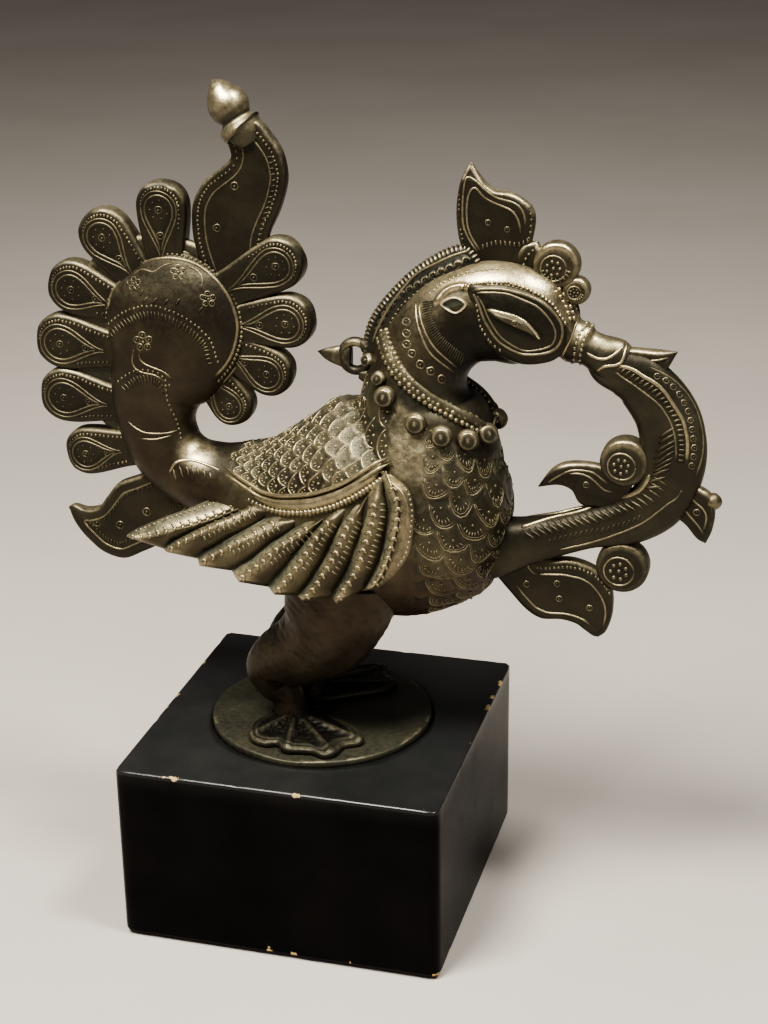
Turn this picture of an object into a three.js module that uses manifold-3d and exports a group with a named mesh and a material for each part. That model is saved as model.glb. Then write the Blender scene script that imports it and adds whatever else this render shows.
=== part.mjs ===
// A bronze bird cast in one with its round base plate, on a black wood plinth with a felt pad.
// Millimetres, +Z up, +X the way the bird faces, +Y to its left. The origin is the middle of
// the pad's underside. Points in the bird's mid plane are written [x, z].

import * as THREE from "three";
import { mergeVertices } from "three/addons/utils/BufferGeometryUtils.js";
import Module from "manifold-3d";

const wasm = await Module();
wasm.setup();

// The plinth, its pad and the plate that the bird is cast on
const plinthSide = 152.4;
const plinthHeight = 85.6;
const plinthEase = 0.8;
const padThickness = 2;
const padInset = 2;
const plateRadius = 52.5;
const plateThickness = 4;
const plateHole = 9;
const plateHoleMiddle = [1, -2.5];
const recessDepth = 1.5;
const gap = 0.3;
const plinthTop = padThickness + plinthHeight;
const plateBottom = plinthTop - recessDepth + gap;
const plateTop = plateBottom + plateThickness;

// Thicknesses across the mid plane, and the counts that set how round things are
const fanThickness = 7;
const leafThickness = 6;
const maneThickness = 7;
const bellCount = 13;
const bellRadius = 4.6;
const bandRadius = 2.6;
const legSpread = 22;
const ankleSpread = 13.5;

const bronze = new THREE.MeshStandardMaterial({ color: 0x5b4a30, roughness: 0.42, metalness: 0.9 });
const blackPaint = new THREE.MeshStandardMaterial({ color: 0x14161a, roughness: 0.35, metalness: 0 });
const feltCloth = new THREE.MeshStandardMaterial({ color: 0x2a1620, roughness: 0.95, metalness: 0 });

// A closed geometry as a solid that can be joined and cut
function solidOf(geometry) {
  const plain = geometry.index ? geometry.toNonIndexed() : geometry.clone();
  plain.deleteAttribute("normal");
  plain.deleteAttribute("uv");
  const merged = mergeVertices(plain, 1e-4);
  return new wasm.Manifold(
    new wasm.Mesh({
      numProp: 3,
      vertProperties: new Float32Array(merged.attributes.position.array),
      triVerts: new Uint32Array(merged.index.array),
    }),
  );
}

// A solid back as a named mesh
function meshOf(name, solid, material) {
  const raw = solid.getMesh();
  const geometry = new THREE.BufferGeometry();
  geometry.setAttribute("position", new THREE.BufferAttribute(raw.vertProperties, 3));
  geometry.setIndex(new THREE.BufferAttribute(raw.triVerts, 1));
  geometry.computeVertexNormals();
  const mesh = new THREE.Mesh(geometry, material);
  mesh.name = name;
  return mesh;
}

const join = (solids) => solids.reduce((all, one) => all.add(one));

// Rows of numbers read at t from 0 to 1 along a Catmull-Rom curve through all of them
function along(rows, t) {
  const spans = rows.length - 1;
  const span = Math.min(spans - 1, Math.floor(t * spans));
  const u = t * spans - span;
  const [p, q, r, s] = [-1, 0, 1, 2].map((k) => rows[Math.max(0, Math.min(spans, span + k))]);
  return q.map((value, i) => {
    const first = r[i] - p[i];
    const second = 2 * p[i] - 5 * value + 4 * r[i] - s[i];
    const third = 3 * value - p[i] - 3 * r[i] + s[i];
    return value + 0.5 * u * (first + u * (second + u * third));
  });
}

// A closed skin over rings of points with equal counts, with a pole at each end
function skin(rings) {
  const sides = rings[0].length;
  const poleOf = (ring) =>
    ring.reduce((sum, point) => sum.add(point), new THREE.Vector3()).divideScalar(sides);
  const points = [poleOf(rings[0]), ...rings.flat(), poleOf(rings.at(-1))];
  const at = (ring, side) => 1 + ring * sides + (side % sides);
  const faces = [];
  for (let side = 0; side < sides; side++) {
    faces.push([0, at(0, side + 1), at(0, side)]);
    faces.push([points.length - 1, at(rings.length - 1, side), at(rings.length - 1, side + 1)]);
    for (let ring = 0; ring + 1 < rings.length; ring++) {
      faces.push([at(ring, side), at(ring, side + 1), at(ring + 1, side + 1)]);
      faces.push([at(ring, side), at(ring + 1, side + 1), at(ring + 1, side)]);
    }
  }
  const facing = (flip) => faces.flatMap(([a, b, c]) => (flip ? [a, c, b] : [a, b, c]));
  const geometry = new THREE.BufferGeometry().setFromPoints(points);
  const made = solidOf(geometry.setIndex(facing(false)));
  return made.volume() > 0 ? made : solidOf(geometry.setIndex(facing(true)));
}

// A round form carried along a path. Each row is [x, z, half depth, half width, y]: the depth
// lies in the plane of the path and the width across it.
function limb(rows, ringCount, sides) {
  const rings = [];
  for (let i = 0; i < ringCount; i++) {
    const t = i / (ringCount - 1);
    const [x, z, depth, width, y = 0] = along(rows, t);
    const [x0, z0] = along(rows, Math.max(0, t - 0.01));
    const [x1, z1] = along(rows, Math.min(1, t + 0.01));
    const way = new THREE.Vector2(x1 - x0, z1 - z0).normalize();
    const ring = [];
    for (let k = 0; k < sides; k++) {
      const turn = (2 * Math.PI * k) / sides;
      const out = depth * Math.cos(turn);
      ring.push(new THREE.Vector3(x - way.y * out, y + width * Math.sin(turn), z + way.x * out));
    }
    rings.push(ring);
  }
  return skin(rings);
}

// A plate in the mid plane with eased edges, from a closed outline of [x, z]. Smooth outlines
// are read as a curve with a number of steps for each point.
function plate(outline, thickness, steps = 2, ease = 1.1) {
  const points = outline.map(([x, z]) => new THREE.Vector3(x, z, 0));
  const curve = new THREE.CatmullRomCurve3(points, true, "centripetal");
  const drawn = steps > 1 ? curve.getPoints(outline.length * steps).slice(0, -1) : points;
  const shape = new THREE.Shape(drawn.map((p) => new THREE.Vector2(p.x, p.y)));
  const geometry = new THREE.ExtrudeGeometry(shape, {
    depth: thickness - 2 * ease,
    bevelEnabled: ease > 0,
    bevelThickness: ease,
    bevelSize: ease,
    bevelOffset: -ease,
    bevelSegments: 1,
  });
  geometry.translate(0, 0, ease - thickness / 2);
  geometry.rotateX(Math.PI / 2);
  return solidOf(geometry);
}

// A round disc in the mid plane
function disc([x, z], radius, thickness, sides = 12) {
  const outline = [];
  for (let k = 0; k < sides; k++) {
    const turn = (2 * Math.PI * k) / sides;
    outline.push([x + radius * Math.cos(turn), z + radius * Math.sin(turn)]);
  }
  return plate(outline, thickness, 1);
}

// A petal: a round lobe about its middle, drawn in to a narrower root nearer the fan
function petal([rootX, rootZ], [lobeX, lobeZ], radius, thickness) {
  const way = Math.atan2(lobeZ - rootZ, lobeX - rootX);
  const reach = Math.hypot(lobeX - rootX, lobeZ - rootZ);
  const lobeSteps = 8;
  const openTurn = 0.62 * Math.PI;
  const rootHalf = radius * 0.7;
  const outline = [];
  for (let i = 0; i <= lobeSteps; i++) {
    const turn = openTurn * ((2 * i) / lobeSteps - 1);
    outline.push([reach + radius * Math.cos(turn), radius * Math.sin(turn)]);
  }
  outline.push([0, rootHalf], [0, -rootHalf]);
  const placed = outline.map(([u, v]) => [
    rootX + u * Math.cos(way) - v * Math.sin(way),
    rootZ + u * Math.sin(way) + v * Math.cos(way),
  ]);
  return plate(placed, thickness, 1, 0);
}

// A ball, and a ball drawn out along the three axes
function ball([x, y, z], [halfX, halfY, halfZ], round = 10, tall = 6) {
  const geometry = new THREE.SphereGeometry(1, round, tall);
  geometry.rotateX(Math.PI / 2);
  geometry.scale(halfX, halfY, halfZ);
  geometry.translate(x, y, z);
  return solidOf(geometry);
}

// The same solid on both sides of the mid plane
const bothSides = (made) => made.add(made.mirror([0, 1, 0]));

// The egg-shaped body from the rump to the breast, cut by upright rings
function body() {
  const rows = [
    [-64, 208, 9, 9],
    [-50, 205, 17, 16],
    [-35, 201, 23, 22],
    [-18, 198, 30, 28],
    [2, 198.5, 39.5, 34],
    [22, 199, 48, 38.5],
    [42, 197.5, 50, 41],
    [58, 197.5, 46, 39],
    [72, 198, 39, 33.5],
    [82, 199, 29.5, 25.5],
    [88.5, 199, 17, 15],
    [91, 199, 2, 2],
  ];
  const ringCount = 19;
  const sides = 20;
  const rings = [];
  for (let i = 0; i < ringCount; i++) {
    const [x, z, height, width] = along(rows, i / (ringCount - 1));
    const ring = [];
    for (let k = 0; k < sides; k++) {
      const turn = (2 * Math.PI * k) / sides;
      ring.push(new THREE.Vector3(x, width * Math.sin(turn), z + height * Math.cos(turn)));
    }
    rings.push(ring);
  }
  return skin(rings);
}

// The neck with the head, curving up out of the body and forward to the bill
function neckAndHead() {
  const neck = limb(
    [
      [51, 222, 35, 36],
      [49.5, 240, 32, 29.5],
      [47.5, 253, 24.5, 24.5],
      [49.5, 266, 21.5, 21.5],
      [56.5, 279, 20.5, 19.5],
      [68, 288.5, 20, 18],
      [83, 292, 20, 17.5],
      [97, 289.5, 19, 16.5],
      [108, 286.5, 15, 13],
      [117, 285, 8, 8],
    ],
    17,
    14,
  );
  const eye = ball([97.5, -12, 292], [20, 8.5, 15], 12, 5);
  const ear = ball([69, -14, 299], [7, 4, 4.5], 6, 4);
  return join([neck, bothSides(eye), bothSides(ear)]);
}

// The serrated mane behind the neck, the crest leaf and the scrolls of the comb
function maneAndCrest() {
  const mane = plate(
    [[26, 268], [24, 277], [28, 288], [34, 297], [43, 306], [55, 314.5], [68, 320], [82, 318],
      [80, 300], [60, 290], [45, 275]],
    maneThickness,
  );
  const crest = plate(
    [[71, 312], [66, 328], [64, 338], [66, 349], [71, 358], [74, 354], [79, 348.5], [92, 345],
      [100, 336], [99, 326], [101, 312]],
    leafThickness,
  );
  return join([
    mane,
    crest,
    disc([107, 315], 10, leafThickness),
    disc([97, 313], 8, leafThickness, 8),
    disc([115, 302], 7, leafThickness, 8),
  ]);
}

// The suspension loop behind the neck: a spiked plate with a hole right through it
function neckLoop() {
  const spike = plate(
    [[2.5, 269], [10, 272.5], [18, 276], [26, 275.5], [34, 268], [30, 258], [20, 259], [10, 262.5]],
    leafThickness,
  );
  const hole = plate(
    [[16.4, 268.3], [17.6, 272.2], [20, 273.5], [22.4, 272.2], [23.6, 268.3], [22.4, 264.6],
      [20, 263.2], [17.6, 264.6]],
    3 * leafThickness,
    1,
    0,
  );
  return spike.subtract(hole);
}

// The bill: two flared trumpets with a beaded ring between them
function bill() {
  return limb(
    [
      [108, 286, 12, 11],
      [115, 283, 10.5, 8.5],
      [118.5, 281.5, 8, 7.5],
      [121, 280, 9, 8.5],
      [124, 278, 8, 7],
      [128, 275, 10.5, 8.5],
      [133, 272, 10, 8],
      [138, 270, 9, 6],
    ],
    12,
    12,
  );
}

// The long curling garland that hangs from the bill and rejoins the breast, with its scrolls
// and leaves
function garland() {
  const stem = limb(
    [
      [132, 272, 8.5, 6],
      [148, 266, 12, 6],
      [157.5, 253, 14, 6.5],
      [161, 239, 14.5, 6.5],
      [161.5, 225, 13.5, 6.5],
      [155.5, 211, 12.5, 6.5],
      [143, 201.5, 10.5, 6.5],
      [127, 197.5, 9, 6.5],
      [111, 191.5, 9.5, 7.5],
      [98, 187, 12, 9],
      [82, 184, 16, 12],
    ],
    20,
    9,
  );
  const innerLeaf = plate(
    [[103.5, 214.5], [109, 222.5], [119, 226.5], [132, 226], [152, 222], [142, 206],
      [122, 208.5], [116, 215.5]],
    leafThickness,
  );
  const outerLeaf = plate(
    [[163, 220], [170, 221], [178, 217], [181, 208], [177, 194.5], [172, 200], [160, 208]],
    leafThickness,
  );
  const lowerLeaf = plate(
    [[84, 178], [93, 162], [104, 151.5], [119, 151.5], [131.5, 144.5], [137, 153], [136, 167],
      [126, 178], [110, 179.5], [100, 186]],
    leafThickness,
  );
  const topLeaf = plate(
    [[137, 276], [148, 280], [161, 279.5], [157, 272], [146, 268]],
    leafThickness - 1,
  );
  return join([
    stem,
    innerLeaf,
    outerLeaf,
    lowerLeaf,
    topLeaf,
    disc([140, 228.5], 10.5, leafThickness),
    disc([141, 181], 11.5, leafThickness),
  ]);
}

// The collar on the slope of the neck's foot, with its round bells
function necklace() {
  const middle = [54, 261];
  const slope = Math.atan2(-37, 52);
  const halfAlong = 30;
  const halfAcross = 27;
  const bellSpread = 0.84 * Math.PI;
  const placed = (turn, scale, drop) => {
    const u = halfAlong * scale * Math.cos(turn);
    return new THREE.Vector3(
      middle[0] + u * Math.cos(slope) + drop * Math.sin(slope),
      halfAcross * scale * Math.sin(turn),
      middle[1] + u * Math.sin(slope) - drop * Math.cos(slope),
    );
  };
  const rings = 22;
  const sides = 5;
  const points = [];
  const faces = [];
  for (let i = 0; i < rings; i++) {
    const turn = (2 * Math.PI * i) / rings;
    for (let k = 0; k < sides; k++) {
      const around = (2 * Math.PI * k) / sides;
      const out = 1 + (bandRadius * Math.cos(around)) / halfAlong;
      points.push(placed(turn, out, bandRadius * 1.5 * Math.sin(around)));
      const here = i * sides + k;
      const beside = i * sides + ((k + 1) % sides);
      const ahead = (((i + 1) % rings) * sides) + k;
      const aheadBeside = (((i + 1) % rings) * sides) + ((k + 1) % sides);
      faces.push(here, beside, aheadBeside, here, aheadBeside, ahead);
    }
  }
  const band = new THREE.BufferGeometry().setFromPoints(points);
  const ring = solidOf(band.setIndex(faces));
  const collar = ring.volume() > 0 ? ring : solidOf(band.setIndex(faces.reverse()));
  const bells = [];
  for (let i = 0; i < bellCount; i++) {
    const turn = bellSpread * ((2 * i) / (bellCount - 1) - 1);
    const { x, y, z } = placed(turn, 0.97, 6.5);
    bells.push(ball([x, y, z], [bellRadius, bellRadius, bellRadius], 6, 4));
  }
  return join([collar, ...bells]);
}

// The tail: a stem that rises from the rump and swells to a boss, with a fan of petals round it
function tail() {
  const boss = limb(
    [
      [-44, 205, 15, 14],
      [-60, 208, 15.5, 14.5],
      [-72, 217, 18, 14.5],
      [-77, 231, 19, 14],
      [-76, 246, 22, 14.5],
      [-70.5, 262, 29, 15.5],
      [-66.5, 277, 33.5, 15.5],
      [-65, 292, 29.5, 12.5],
      [-64.5, 303, 20, 8],
      [-64.5, 310, 7, 4],
    ],
    14,
    16,
  );
  const backing = plate(
    [[-88, 207], [-104, 223], [-110, 240], [-110.5, 265], [-105, 286], [-95, 305], [-80, 318],
      [-57, 321], [-36, 312], [-24, 298], [-20, 281], [-27, 264], [-41, 250], [-60, 246]],
    fanThickness - 1,
    1,
  );
  const petals = [
    [[-90, 216], [-111, 213.5], 11.5],
    [[-98, 238], [-120, 240.5], 13.3],
    [[-98, 265], [-120, 266.5], 13.3],
    [[-94, 287], [-112.5, 292.5], 12.8],
    [[-82, 301], [-95.5, 317.5], 12.5],
    [[-67, 307], [-67.5, 331.5], 12],
    [[-38, 296], [-14, 309], 12],
    [[-34, 280], [-10.5, 283], 12.5],
    [[-38, 268], [-20, 259], 11.5],
    [[-50, 256], [-38.5, 242.5], 10.5],
  ];
  const leaf = plate(
    [[-50, 308], [-53, 322], [-52.5, 334], [-47, 343], [-38, 350], [-33, 356], [-36, 364],
      [-28, 370], [-20, 369], [-12, 358], [-9.5, 346], [-13, 333], [-20, 321], [-30, 305]],
    leafThickness,
  );
  const bud = limb(
    [
      [-27, 364, 7, 7],
      [-29.5, 367, 9.5, 9],
      [-31.5, 370, 6.5, 6.5],
      [-34, 374, 8.5, 8.5],
      [-37, 379, 8.5, 8.5],
      [-40, 384, 5, 5],
      [-41.5, 386.5, 1, 1],
    ],
    9,
    10,
  );
  const lowLeaf = plate(
    [[-80, 206], [-97, 198], [-108, 184.5], [-123.5, 183.5], [-119, 173], [-107, 163], [-95, 160],
      [-84, 165], [-66, 186], [-62, 200]],
    leafThickness,
  );
  return join([boss, backing, leaf, bud, lowLeaf, ...petals.map((one) => petal(...one, fanThickness))]);
}

// One wing: feathers that fan from below a band on the flank and stand off it at their tips,
// and the raised double band. Rows are [x, z, y].
function wing() {
  const roots = [
    [-34, 216, -19],
    [-16, 206, -28],
    [4, 203.5, -35],
    [22, 210, -37.5],
    [37, 221, -35],
    [46, 224, -32],
  ];
  const tips = [
    [-84, 189, -33],
    [-62, 180.5, -36],
    [-43, 175, -38],
    [-25, 170, -40],
    [-9, 165.5, -42],
    [5, 163, -43],
    [22, 164.5, -43.5],
    [39, 172.5, -44],
    [51, 185, -43],
    [55, 202, -42],
    [51, 217, -36],
  ];
  const thickness = 6;
  const ridgeHeight = 1.6;
  const stepsPerTip = 2;
  const shares = [0, 0.4, 0.8, 1];
  const valleyReach = 0.94;
  const fans = (tips.length - 1) * stepsPerTip;
  const rings = [];
  for (let i = 0; i <= fans; i++) {
    const root = along(roots, i / fans);
    const tip = along(tips, i / fans);
    const lift = ridgeHeight * Math.cos((2 * Math.PI * i) / stepsPerTip);
    const reach = lift > 0 ? 1 : valleyReach;
    const face = (part, depth) => {
      const share = part * reach;
      const [x, z, y] = root.map((value, k) => value + (tip[k] - value) * share);
      const bulge = 3 * Math.sin(Math.PI * share);
      return new THREE.Vector3(x, y - bulge + depth, z);
    };
    rings.push([
      ...shares.map((share) => face(share, -lift * share)),
      ...shares.map((share) => face(share, thickness)).reverse(),
    ]);
  }
  const band = limb(
    [
      [-36, 219, 3, 3, -15],
      [-25, 212, 4.5, 4.5, -22.5],
      [-12, 208.5, 5, 5, -28.5],
      [3, 209.5, 5, 5, -33],
      [20, 218, 5, 5, -34.5],
      [42, 229, 3.5, 3.5, -30.5],
    ],
    10,
    7,
  );
  return skin(rings).add(band);
}

// One leg, from the thigh back to the hock and down to the ankle, and its webbed foot
function leg() {
  const shank = limb(
    [
      [18, 172, 27, 17, -legSpread],
      [15, 155, 25, 17, -legSpread],
      [9, 142, 22, 16, -legSpread + 1],
      [-1, 132, 18, 14, -legSpread + 3],
      [-12, 123, 14, 12, -legSpread + 5],
      [-16, 113, 9.5, 9, -legSpread + 7],
      [-13, 103, 7.5, 7.5, -ankleSpread],
      [-10, plateTop - 1, 9, 9, -ankleSpread],
    ],
    11,
    10,
  );
  const footHeight = 7;
  const shape = new THREE.Shape(
    [
      [-16, -8],
      [-25, -30],
      [-21, -41],
      [-9, -42],
      [-4, -47],
      [9, -45.5],
      [19, -46],
      [21, -37],
      [28, -30],
      [10, -14],
      [-2, -6],
    ].map(([x, y]) => new THREE.Vector2(x, y)),
  );
  const foot = new THREE.ExtrudeGeometry(shape, {
    depth: footHeight - 2,
    bevelThickness: 2,
    bevelSize: 2,
    bevelOffset: -2,
    bevelSegments: 1,
  });
  foot.translate(0, 0, plateTop - 1);
  return shank.add(solidOf(foot));
}

// The round plate under the feet, with the turned square hole near its middle
function basePlate() {
  const profile = [
    [0, plateBottom],
    [plateRadius - 0.5, plateBottom],
    [plateRadius, plateBottom + 0.5],
    [plateRadius, plateTop - 1],
    [plateRadius - 1, plateTop],
    [0, plateTop],
  ].map(([r, z]) => new THREE.Vector2(r, z));
  const round = new THREE.LatheGeometry(profile, 36);
  round.rotateX(Math.PI / 2);
  const hole = new THREE.BoxGeometry(plateHole, plateHole, 4 * plateThickness);
  hole.rotateZ(Math.PI / 4);
  hole.translate(plateHoleMiddle[0], plateHoleMiddle[1], (plateBottom + plateTop) / 2);
  return solidOf(round).subtract(solidOf(hole));
}

// A block whose edges are all eased, standing on z
function easedBlock(side, height, ease, z) {
  const half = side / 2;
  const flat = half - ease;
  const shape = new THREE.Shape(
    [[flat, -half], [half, -flat], [half, flat], [flat, half], [-flat, half], [-half, flat],
      [-half, -flat], [-flat, -half]].map(([x, y]) => new THREE.Vector2(x, y)),
  );
  const geometry = new THREE.ExtrudeGeometry(shape, {
    depth: height - 2 * ease,
    bevelThickness: ease,
    bevelSize: ease,
    bevelOffset: -ease,
    bevelSegments: 1,
  });
  geometry.translate(0, 0, z + ease);
  return solidOf(geometry);
}

// The plinth, with the shallow round recess that the bird's plate stands in
function plinth() {
  const recess = new THREE.CylinderGeometry(plateRadius + gap, plateRadius + gap, 2 * recessDepth, 36);
  recess.rotateX(Math.PI / 2);
  recess.translate(0, 0, plinthTop);
  return easedBlock(plinthSide, plinthHeight - gap, plinthEase, padThickness + gap).subtract(
    solidOf(recess),
  );
}

const bird = join([
  body(),
  neckAndHead(),
  maneAndCrest(),
  neckLoop(),
  bill(),
  garland(),
  necklace(),
  tail(),
  bothSides(wing()),
  bothSides(leg()),
  basePlate(),
]);

const group = new THREE.Group();
group.add(meshOf("bird", bird, bronze));
group.add(meshOf("plinth", plinth(), blackPaint));
group.add(meshOf("felt_pad", easedBlock(plinthSide - 2 * padInset, padThickness, 0.4, 0), feltCloth));
export default group;
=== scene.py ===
import bpy
import numpy as np
from mathutils import Matrix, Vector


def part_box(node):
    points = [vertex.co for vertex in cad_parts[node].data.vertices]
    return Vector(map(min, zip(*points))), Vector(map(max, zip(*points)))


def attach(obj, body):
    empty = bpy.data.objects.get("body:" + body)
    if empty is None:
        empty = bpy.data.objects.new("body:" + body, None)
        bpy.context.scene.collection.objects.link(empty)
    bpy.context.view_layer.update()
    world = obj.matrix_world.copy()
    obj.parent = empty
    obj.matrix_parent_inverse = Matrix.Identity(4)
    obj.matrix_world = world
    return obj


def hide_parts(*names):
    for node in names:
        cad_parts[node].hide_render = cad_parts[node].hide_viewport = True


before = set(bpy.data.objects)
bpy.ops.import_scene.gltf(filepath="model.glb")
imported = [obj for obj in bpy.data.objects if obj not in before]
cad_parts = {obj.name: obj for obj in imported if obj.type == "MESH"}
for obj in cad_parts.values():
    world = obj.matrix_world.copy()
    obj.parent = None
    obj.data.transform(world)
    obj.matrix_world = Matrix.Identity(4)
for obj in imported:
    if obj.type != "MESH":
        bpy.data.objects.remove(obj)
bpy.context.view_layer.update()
print("frame loaded")

metre = 0.001  # every place below is in mm

# the side drawing: for each mm off the mid plane a mark is drawn this much further back and lower
sideDrawing = {"back": 0.2835, "down": 0.416}


def drawn(points):
    # place in the side drawing: x and z less the distance off the mid plane times the two slopes
    off = np.abs(points[..., 1])
    x = points[..., 0] - sideDrawing["back"]*off
    z = points[..., 2] - sideDrawing["down"]*off
    return np.stack([x, z], axis=-1)


def placed(drawing, off):
    # the reverse: a point of the side drawing put at the distance off the mid plane, on the near side
    drawing = np.asarray(drawing, float)
    off = np.broadcast_to(off, drawing.shape[:-1])
    x = drawing[..., 0] + sideDrawing["back"]*off
    z = drawing[..., 1] + sideDrawing["down"]*off
    return np.stack([x, -off, z], axis=-1)


def smoothCurve(points, count, closed=False):
    # Catmull-Rom curve through the rows, then even steps of its length over all columns
    rows = np.asarray(points, float)
    if closed:
        rows = np.vstack([rows[-1:], rows, rows[:2]])
    else:
        rows = np.vstack([2*rows[:1] - rows[1:2], rows, 2*rows[-1:] - rows[-2:-1]])
    spans = len(rows) - 3
    t = np.linspace(0, spans, spans*32 + 1)
    i = np.minimum(t.astype(int), spans - 1)
    f = (t - i)[:, None]
    a, b, c, d = rows[i], rows[i + 1], rows[i + 2], rows[i + 3]
    curve = 0.5*(2*b + (c - a)*f + (2*a - 5*b + 4*c - d)*f**2 + (3*b - a - 3*c + d)*f**3)
    steps = np.linalg.norm(np.diff(curve, axis=0), axis=1)
    length = np.concatenate([[0], np.cumsum(steps)])
    at = np.linspace(0, length[-1], count)
    return np.stack([np.interp(at, length, column) for column in curve.T], axis=1)


def nearCurve(places, curve, pastEnds=True):
    # nearest place on a polyline: signed distance (left of its run is plus) and length along it.
    # without pastEnds, places beyond either end are sent far away
    best = np.full(places.shape[:-1], 1e9)
    side = np.ones(places.shape[:-1])
    along = np.zeros(places.shape[:-1])
    beyond = np.zeros(places.shape[:-1], bool)
    start = 0.0
    final = len(curve) - 2
    for k, (p, q) in enumerate(zip(curve[:-1], curve[1:])):
        step = q - p
        long = max(np.hypot(*step), 1e-9)
        rel = places - p
        free = rel @ step/long**2
        f = np.clip(free, 0, 1)
        gap = np.hypot(rel[..., 0] - f*step[0], rel[..., 1] - f*step[1])
        hit = gap < best
        best = np.where(hit, gap, best)
        along = np.where(hit, start + f*long, along)
        side = np.where(hit, np.sign(step[0]*rel[..., 1] - step[1]*rel[..., 0] + 1e-12), side)
        past = (free < 0) if k == 0 else (free > 1) if k == final else False
        beyond = np.where(hit, past, beyond)
        start += long
    if not pastEnds:
        best = np.where(beyond, 1e3, best)
    return best*side, along


def rib(distance, halfWidth, height=1.0):
    # rounded rib across a line: height times (1 - (d/w)^2) to the power 1.5
    return height*np.clip(1 - (distance/halfWidth)**2, 0, 1)**1.5


def within(value, limit, soft=0.8):
    # 1 inside the limit, falling smoothly to 0 over the soft width
    return np.clip((limit - np.abs(value))/soft + 0.5, 0, 1)


def repeat(along, pitch):
    # distance along from the middle of the nearest repeat
    return (along + pitch/2) % pitch - pitch/2


def wires(ab, curves, halfWidth=0.9, height=0.5):
    # raised wires laid along several curves of the drawing
    lift = 0
    for curve in curves:
        away, _ = nearCurve(ab, smoothCurve(curve, 12 + 6*len(curve)))
        lift = np.maximum(lift, rib(away, halfWidth, height))
    return lift


def crescentRow(away, along, pitch, radius, halfWide, height, opening=1):
    # half rings standing along a line, open towards the side that `opening` gives
    m = repeat(along, pitch)
    ring = rib(np.hypot(m, away) - radius, halfWide, height)
    return ring*within(np.clip(opening*away, 0, None), radius*0.35, radius*0.5)


def rings(ab, places, radius, halfWide=0.55, height=0.45, dot=True):
    # small struck rings, each with a dot in its middle
    lift = 0
    for place in places:
        d = np.hypot(ab[..., 0] - place[0], ab[..., 1] - place[1])
        lift = np.maximum(lift, rib(d - radius, halfWide, height))
        if dot:
            lift = np.maximum(lift, rib(d, radius*0.36, height))
    return lift


def spot(ab, middle, radius, soft=0.5):
    # round patch: 1 in its middle, falling off past (1 - soft) of its radius
    middle = np.asarray(middle, float)
    d = np.hypot(ab[..., 0] - middle[0], ab[..., 1] - middle[1])/radius
    return np.clip((1 - d)/soft, 0, 1)


def insideOf(places, loop):
    # even-odd count of the loop's edges that a ray to the right crosses
    inside = np.zeros(places.shape[:-1], bool)
    x, z = places[..., 0], places[..., 1]
    for p, q in zip(loop, np.roll(loop, -1, axis=0)):
        if abs(q[1] - p[1]) < 1e-9:
            continue
        spans = (p[1] > z) != (q[1] > z)
        inside ^= spans & (x < (q[0] - p[0])*(z - p[1])/(q[1] - p[1]) + p[0])
    return inside


def uneven(points, size, seed):
    # sum of 14 plane waves in set random directions, near -1..1, with the wave length `size` in mm
    draw = np.random.default_rng(seed)
    total = 0
    for _ in range(14):
        way = draw.normal(size=3)
        way *= 2*np.pi/(size*draw.uniform(0.6, 1.6))/np.linalg.norm(way)
        total = total + np.sin(points @ way + draw.uniform(0, 2*np.pi))
    return total/4.5


def sectionRing(count, wide, high, fullness=2.0, nearShare=0.58):
    # superellipse round a section: shares of the half width and height, in even steps of its outline
    # within each half, with the larger share of the points on the near side
    turn = np.linspace(0, 2*np.pi, 721)
    c = np.sign(np.cos(turn))*np.abs(np.cos(turn))**(2/fullness)
    s = np.sign(np.sin(turn))*np.abs(np.sin(turn))**(2/fullness)
    steps = np.hypot(np.diff(c)*wide, np.diff(s)*high)
    length = np.concatenate([[0], np.cumsum(steps)])
    near = int(round(count*nearShare))
    far = count - near
    at = np.concatenate([np.arange(far)/far*0.5, 0.5 + np.arange(near)/near*0.5])*length[-1]
    return np.interp(at, length, c), np.interp(at, length, s)


def gridNormals(points):
    # cross product of the two grid directions, turned to point away from each row's middle
    along = np.gradient(points, axis=0)
    around = np.roll(points, -1, axis=1) - np.roll(points, 1, axis=1)
    normal = np.cross(along, around)
    size = np.linalg.norm(normal, axis=-1, keepdims=True)
    normal = normal/np.maximum(size, 1e-9)
    outward = (points - points.mean(axis=1, keepdims=True))*normal
    if outward[len(points)//8:-len(points)//8].sum() < 0:
        normal = -normal
    return normal


def closedTube(points):
    # faces of a grid that wraps round in its second direction and closes on a middle point at both ends
    rows, cols = points.shape[:2]
    index = np.arange(rows*cols).reshape(rows, cols)
    beside = np.roll(index, -1, axis=1)
    quads = np.stack([index[:-1], index[1:], beside[1:], beside[:-1]], axis=-1).reshape(-1, 4)
    first, last = rows*cols, rows*cols + 1
    fans = np.concatenate([
        np.stack([np.full(cols, first), index[0], beside[0]], axis=-1),
        np.stack([np.full(cols, last), beside[-1], index[-1]], axis=-1)])
    ends = np.stack([points[0].mean(axis=0), points[-1].mean(axis=0)])
    return np.concatenate([points.reshape(-1, 3), ends]), quads, fans


def finish(shape, bright=0.0, dark=0.0, green=0.0, red=0.0):
    # the four amounts that the bronze reads at each point: worn bright together with painted highlight, blackened
    # together with painted shade, verdigris, reddish
    marks = [np.clip(np.broadcast_to(m, shape), 0, 1) for m in (bright, dark, green, red)]
    return np.stack(marks, axis=-1)


# amounts for the rubbed brightness with its painted highlight, and for the painted shade and verdigris below the
# softened surface
wearLightAndShade = {"width": 1.5, "high": 0.42, "low": 0.26, "bright": 0.42, "dark": 0.6, "green": 0.5}


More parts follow.
